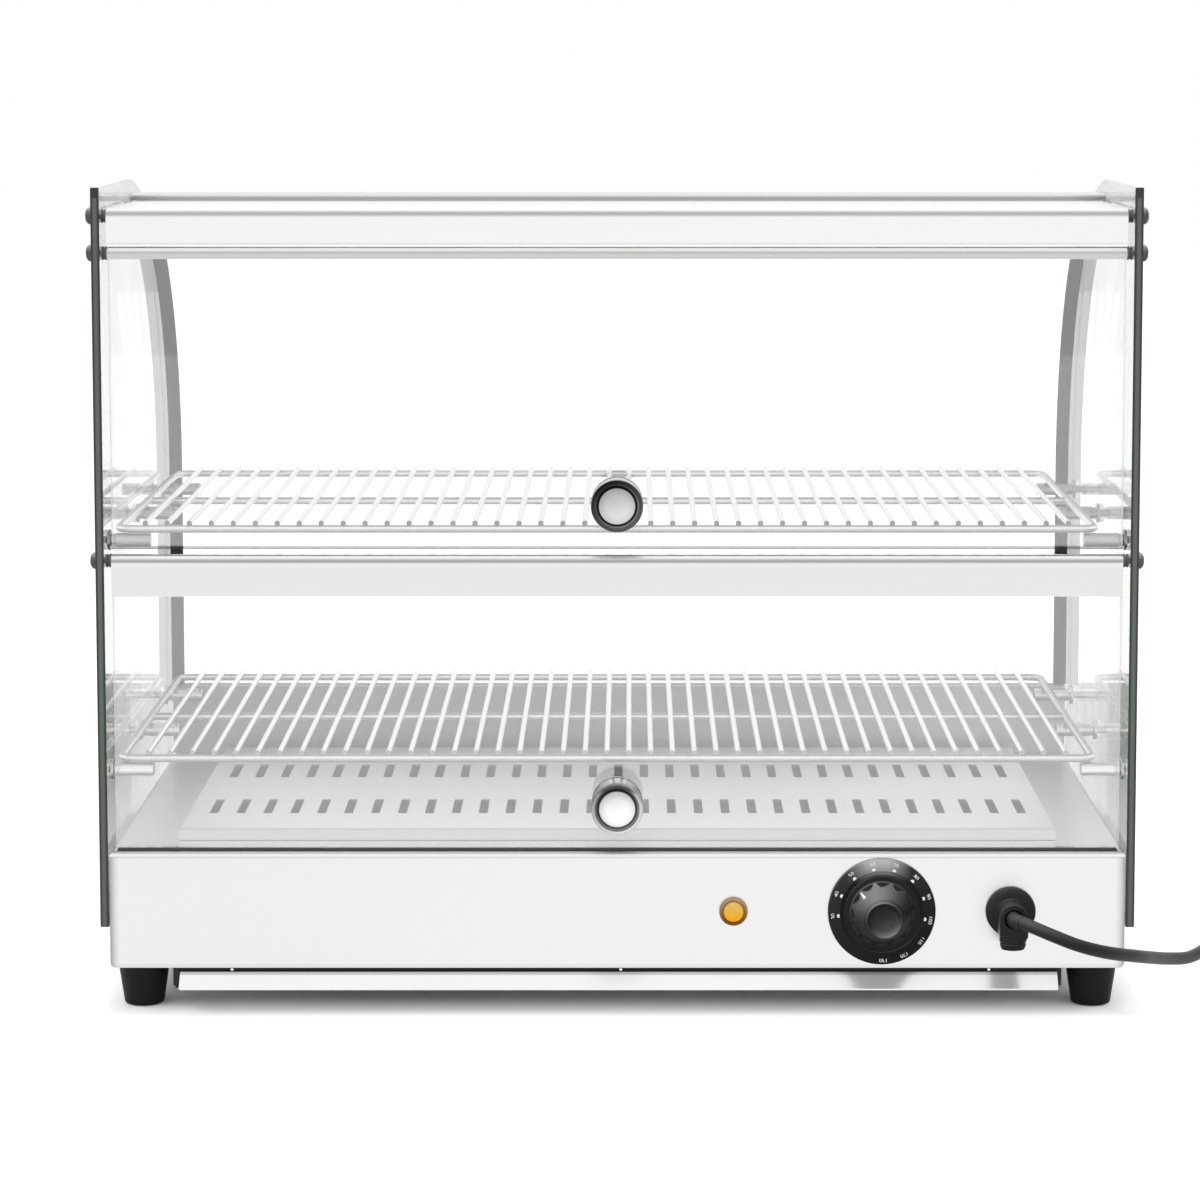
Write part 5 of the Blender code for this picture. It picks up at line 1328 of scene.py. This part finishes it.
def gland_and_clamp():
    """Flanged gland, the clamp over its mouth and the clamp's screw barrel."""
    gland = on_front("gland", [
        (11.5, -6.5), (11.5, -1.5), (8, -1.5), (8, 0.3), (13.8, 0.3), (14.5, 0.8), (14.5, 1.8), (14.1, 2.6),
        (12.8, 3.3), (10.8, 3.8), (8.6, 4.1), (8, 4.6), (8, 8.5), (0.1, 8.5),
    ], GLAND_X, 56)
    stand(gland, GLAND, "gland_plastic", "cord_gland")
    outline = arc((0, 0), 0.0082, 0, 180, 28) + [
        (-0.0082, -0.0080), (-0.0080, -0.0104), (-0.0071, -0.0118), (0.0071, -0.0118), (0.0080, -0.0104),
        (0.0082, -0.0080),
    ]
    mouth = arc((0, 0), 0.0056, 0, 350, 35)
    place = deep(GLAND_X, -0.0153, CONTROL_HEIGHT)
    body = cutout("clamp", [outline, mouth], 0.0130, place, TOWARDS_OPERATOR, 0.0009)
    barrel = turned("barrel", [
        (7.2, 0), (7.8, 0.5), (7.8, 2.6), (7.2, 3), (7.2, 3.6), (7.6, 4), (7.3, 5.4), (6.6, 7), (5, 7.4),
        (4.5, 6.4), (0.1, 6.4),
    ], steps=48)
    barrel.scale = (1, 0.84, 1)
    barrel.rotation_euler = (math.pi, 0, 0)
    barrel.location = deep(GLAND_X, -0.0153, CONTROL_HEIGHT - 0.0114)
    settled(barrel)
    stand(united("clamp", [body, barrel]), GLAND, "gland_plastic", "cord_clamp")


def cord_boot():
    """Tapered strain relief moulded on the cord where it leaves the clamp."""
    spots, runs = [], [0.0]
    for a, b in zip(cord_points, cord_points[1:]):
        spots.append(a)
        if runs[-1] + (b - a).length > 0.028:
            break
        runs.append(runs[-1] + (b - a).length)
    sleeve = {"bevel_depth": 1.0, "bevel_resolution": 6, "use_fill_caps": True}
    boot = curve_piece("cord_boot", [spots], False, dimensions="3D", **sleeve)
    for point, run in zip(boot.data.splines[0].points, runs):
        point.radius = 0.0053 - 0.0013 * run / 0.026
    stand(meshed(boot), CORD, "cord_rubber")


def rubber_feet():
    """Four tapered feet, hollow below."""
    profile = [
        (0.1, 1.6), (5, 1.6), (5.6, 0), (10.4, 0), (11.3, 0.5), (11.7, 1.4), (13.4, 13), (15, 24),
        (15.3, 25.6), (15.4, 26.8), (15.2, 27.4), (0.1, 27.4),
    ]
    for row, depth in (("near", 0.030), ("far", 0.2835)):
        for word, side in (("left", -1), ("right", 1)):
            foot = turned(f"rubber_foot_{row}_{word}", profile, deep(side * 0.2788, depth, 0), steps=56)
            stand(foot, FOOT, "foot_rubber", f"foot_{row}_{word}")


def lip_screws():
    """Three small screw heads in the gap over the tray's lip."""
    profile = [(1.2, 0), (1.2, 0.4), (0.8, 0.9), (0.1, 1)]
    heads = [on_front("screw", profile, x, 20, 0.0263, 0.0021) for x in (-0.224, 0.002, 0.216)]
    stand(united("lip_screws", heads), CHROME, "hardware_chrome", body="tray")


glass_panes()
sill_strip()
glass_seals()
channel_piece()
roof_pieces()
flap_rail("upper", UPPER_PIVOT, 0.0033)
flap_rail("lower", LOWER_PIVOT, 0.0206)
base_piece()
deck_piece()
tray_piece()
glass_bolts()
shelf_pegs()
flap_knob("upper", UPPER_KNOB)
flap_knob("lower", LOWER_KNOB)
wire_shelf("upper", 0.28282)
wire_shelf("lower", 0.14830)
dial_face()
dial_knob()
lamp()
gland_and_clamp()
cord_boot()
rubber_feet()
lip_screws()


# Light, floor and background


def light_stage():
    """White world where it is seen, and a greyer one for the light that it sheds."""
    world = bpy.data.worlds.new("studio")
    bpy.context.scene.world = world
    f = Finish("studio", world)
    f.set(Color=f.between(f.seen(), (0.62, 0.62, 0.63), (1, 1, 1)))
    bpy.context.scene.view_settings.view_transform = "Standard"


def backdrop(name, size, at, turn=UP):
    deselect()
    bpy.ops.mesh.primitive_plane_add(size=1, location=at, rotation=turn)
    piece = bpy.context.object
    piece.name = name
    piece.scale = (*size, 1.0)
    return settled(piece)


def softbox(name, at, aim, size, watts):
    data = bpy.data.lights.new(name, "AREA")
    data.shape = "RECTANGLE"
    data.size, data.size_y = size
    data.energy = watts
    lamp = bpy.data.objects.new(name, data)
    bpy.context.scene.collection.objects.link(lamp)
    lamp.location = at
    lamp.rotation_euler = (Vector(aim) - Vector(at)).to_track_quat("-Z", "Y").to_euler()
    lamp.visible_glossy = False


def lay_floor():
    """Pale floor that keeps the case's own shadow."""
    floor = backdrop("studio_floor", (16, 16), (0, 0, -0.0004))
    f = Finish("studio_floor")
    where, x, y, z = f.place()
    cloth = f.noise(where, 0.8, 2.0)
    open_near = f.ramp(y, NEAR + 0.040, NEAR - 0.012) ** 1.5
    open_far = f.ramp(y, NEAR + 0.270, NEAR + 0.330)
    open_side = f.ramp(x.size(), 0.268, 0.310) ** 1.5
    beyond = (x.size() - 0.30).at_least(NEAR - y).at_least(y - NEAR - 0.32)
    share = open_near.at_least(open_far).at_least(open_side) * 0.62 + f.ramp(beyond, 0.01, 0.12) * 0.24
    glow = f.node("ShaderNodeEmission", None, Color=(1, 1, 1), Strength=1.32)
    matt = f.set(Base_Color=f.between(cloth, (0.93, 0.93, 0.93), (0.96, 0.96, 0.96)), Roughness=0.9)
    f.shader.inputs["Specular IOR Level"].default_value = 0.0
    mixed = f.node("ShaderNodeMixShader", None, f.seen() * share, Flow(f, f.shader.outputs[0]), glow)
    f.feed(f.tree.nodes["Material Output"].inputs["Surface"], mixed)
    give(matt, floor)


def hang_grey_card():
    """A grey card behind the camera, seen only in the bright metal's reflections."""
    card = backdrop("grey_card", (6.0, 2.0), (0, -4.2, 1.05), TOWARDS_OPERATOR)
    f = Finish("grey_card")
    cloth = f.noise(f.place()[0], 1.2, 2.0)
    f.shader.inputs["Emission Strength"].default_value = 1.0
    glow = f.between(cloth, (0.84,) * 3, (0.94,) * 3)
    give(f.set(Base_Color=(0.05, 0.05, 0.05), Emission_Color=glow), card)
    for ray in ("camera", "diffuse", "transmission", "shadow"):
        setattr(card, f"visible_{ray}", False)


light_stage()
lay_floor()
hang_grey_card()
softbox("key", (-1.6, -1.8, 2.2), (0, 0, 0.2), (1.6, 1.2), 34)
softbox("fill", (1.9, -1.4, 1.5), (0, 0, 0.2), (1.4, 1.4), 16)
softbox("top", (0, 0.2, 2.6), (0, 0, 0.2), (1.8, 1.4), 22)

bpy.context.view_layer.update()
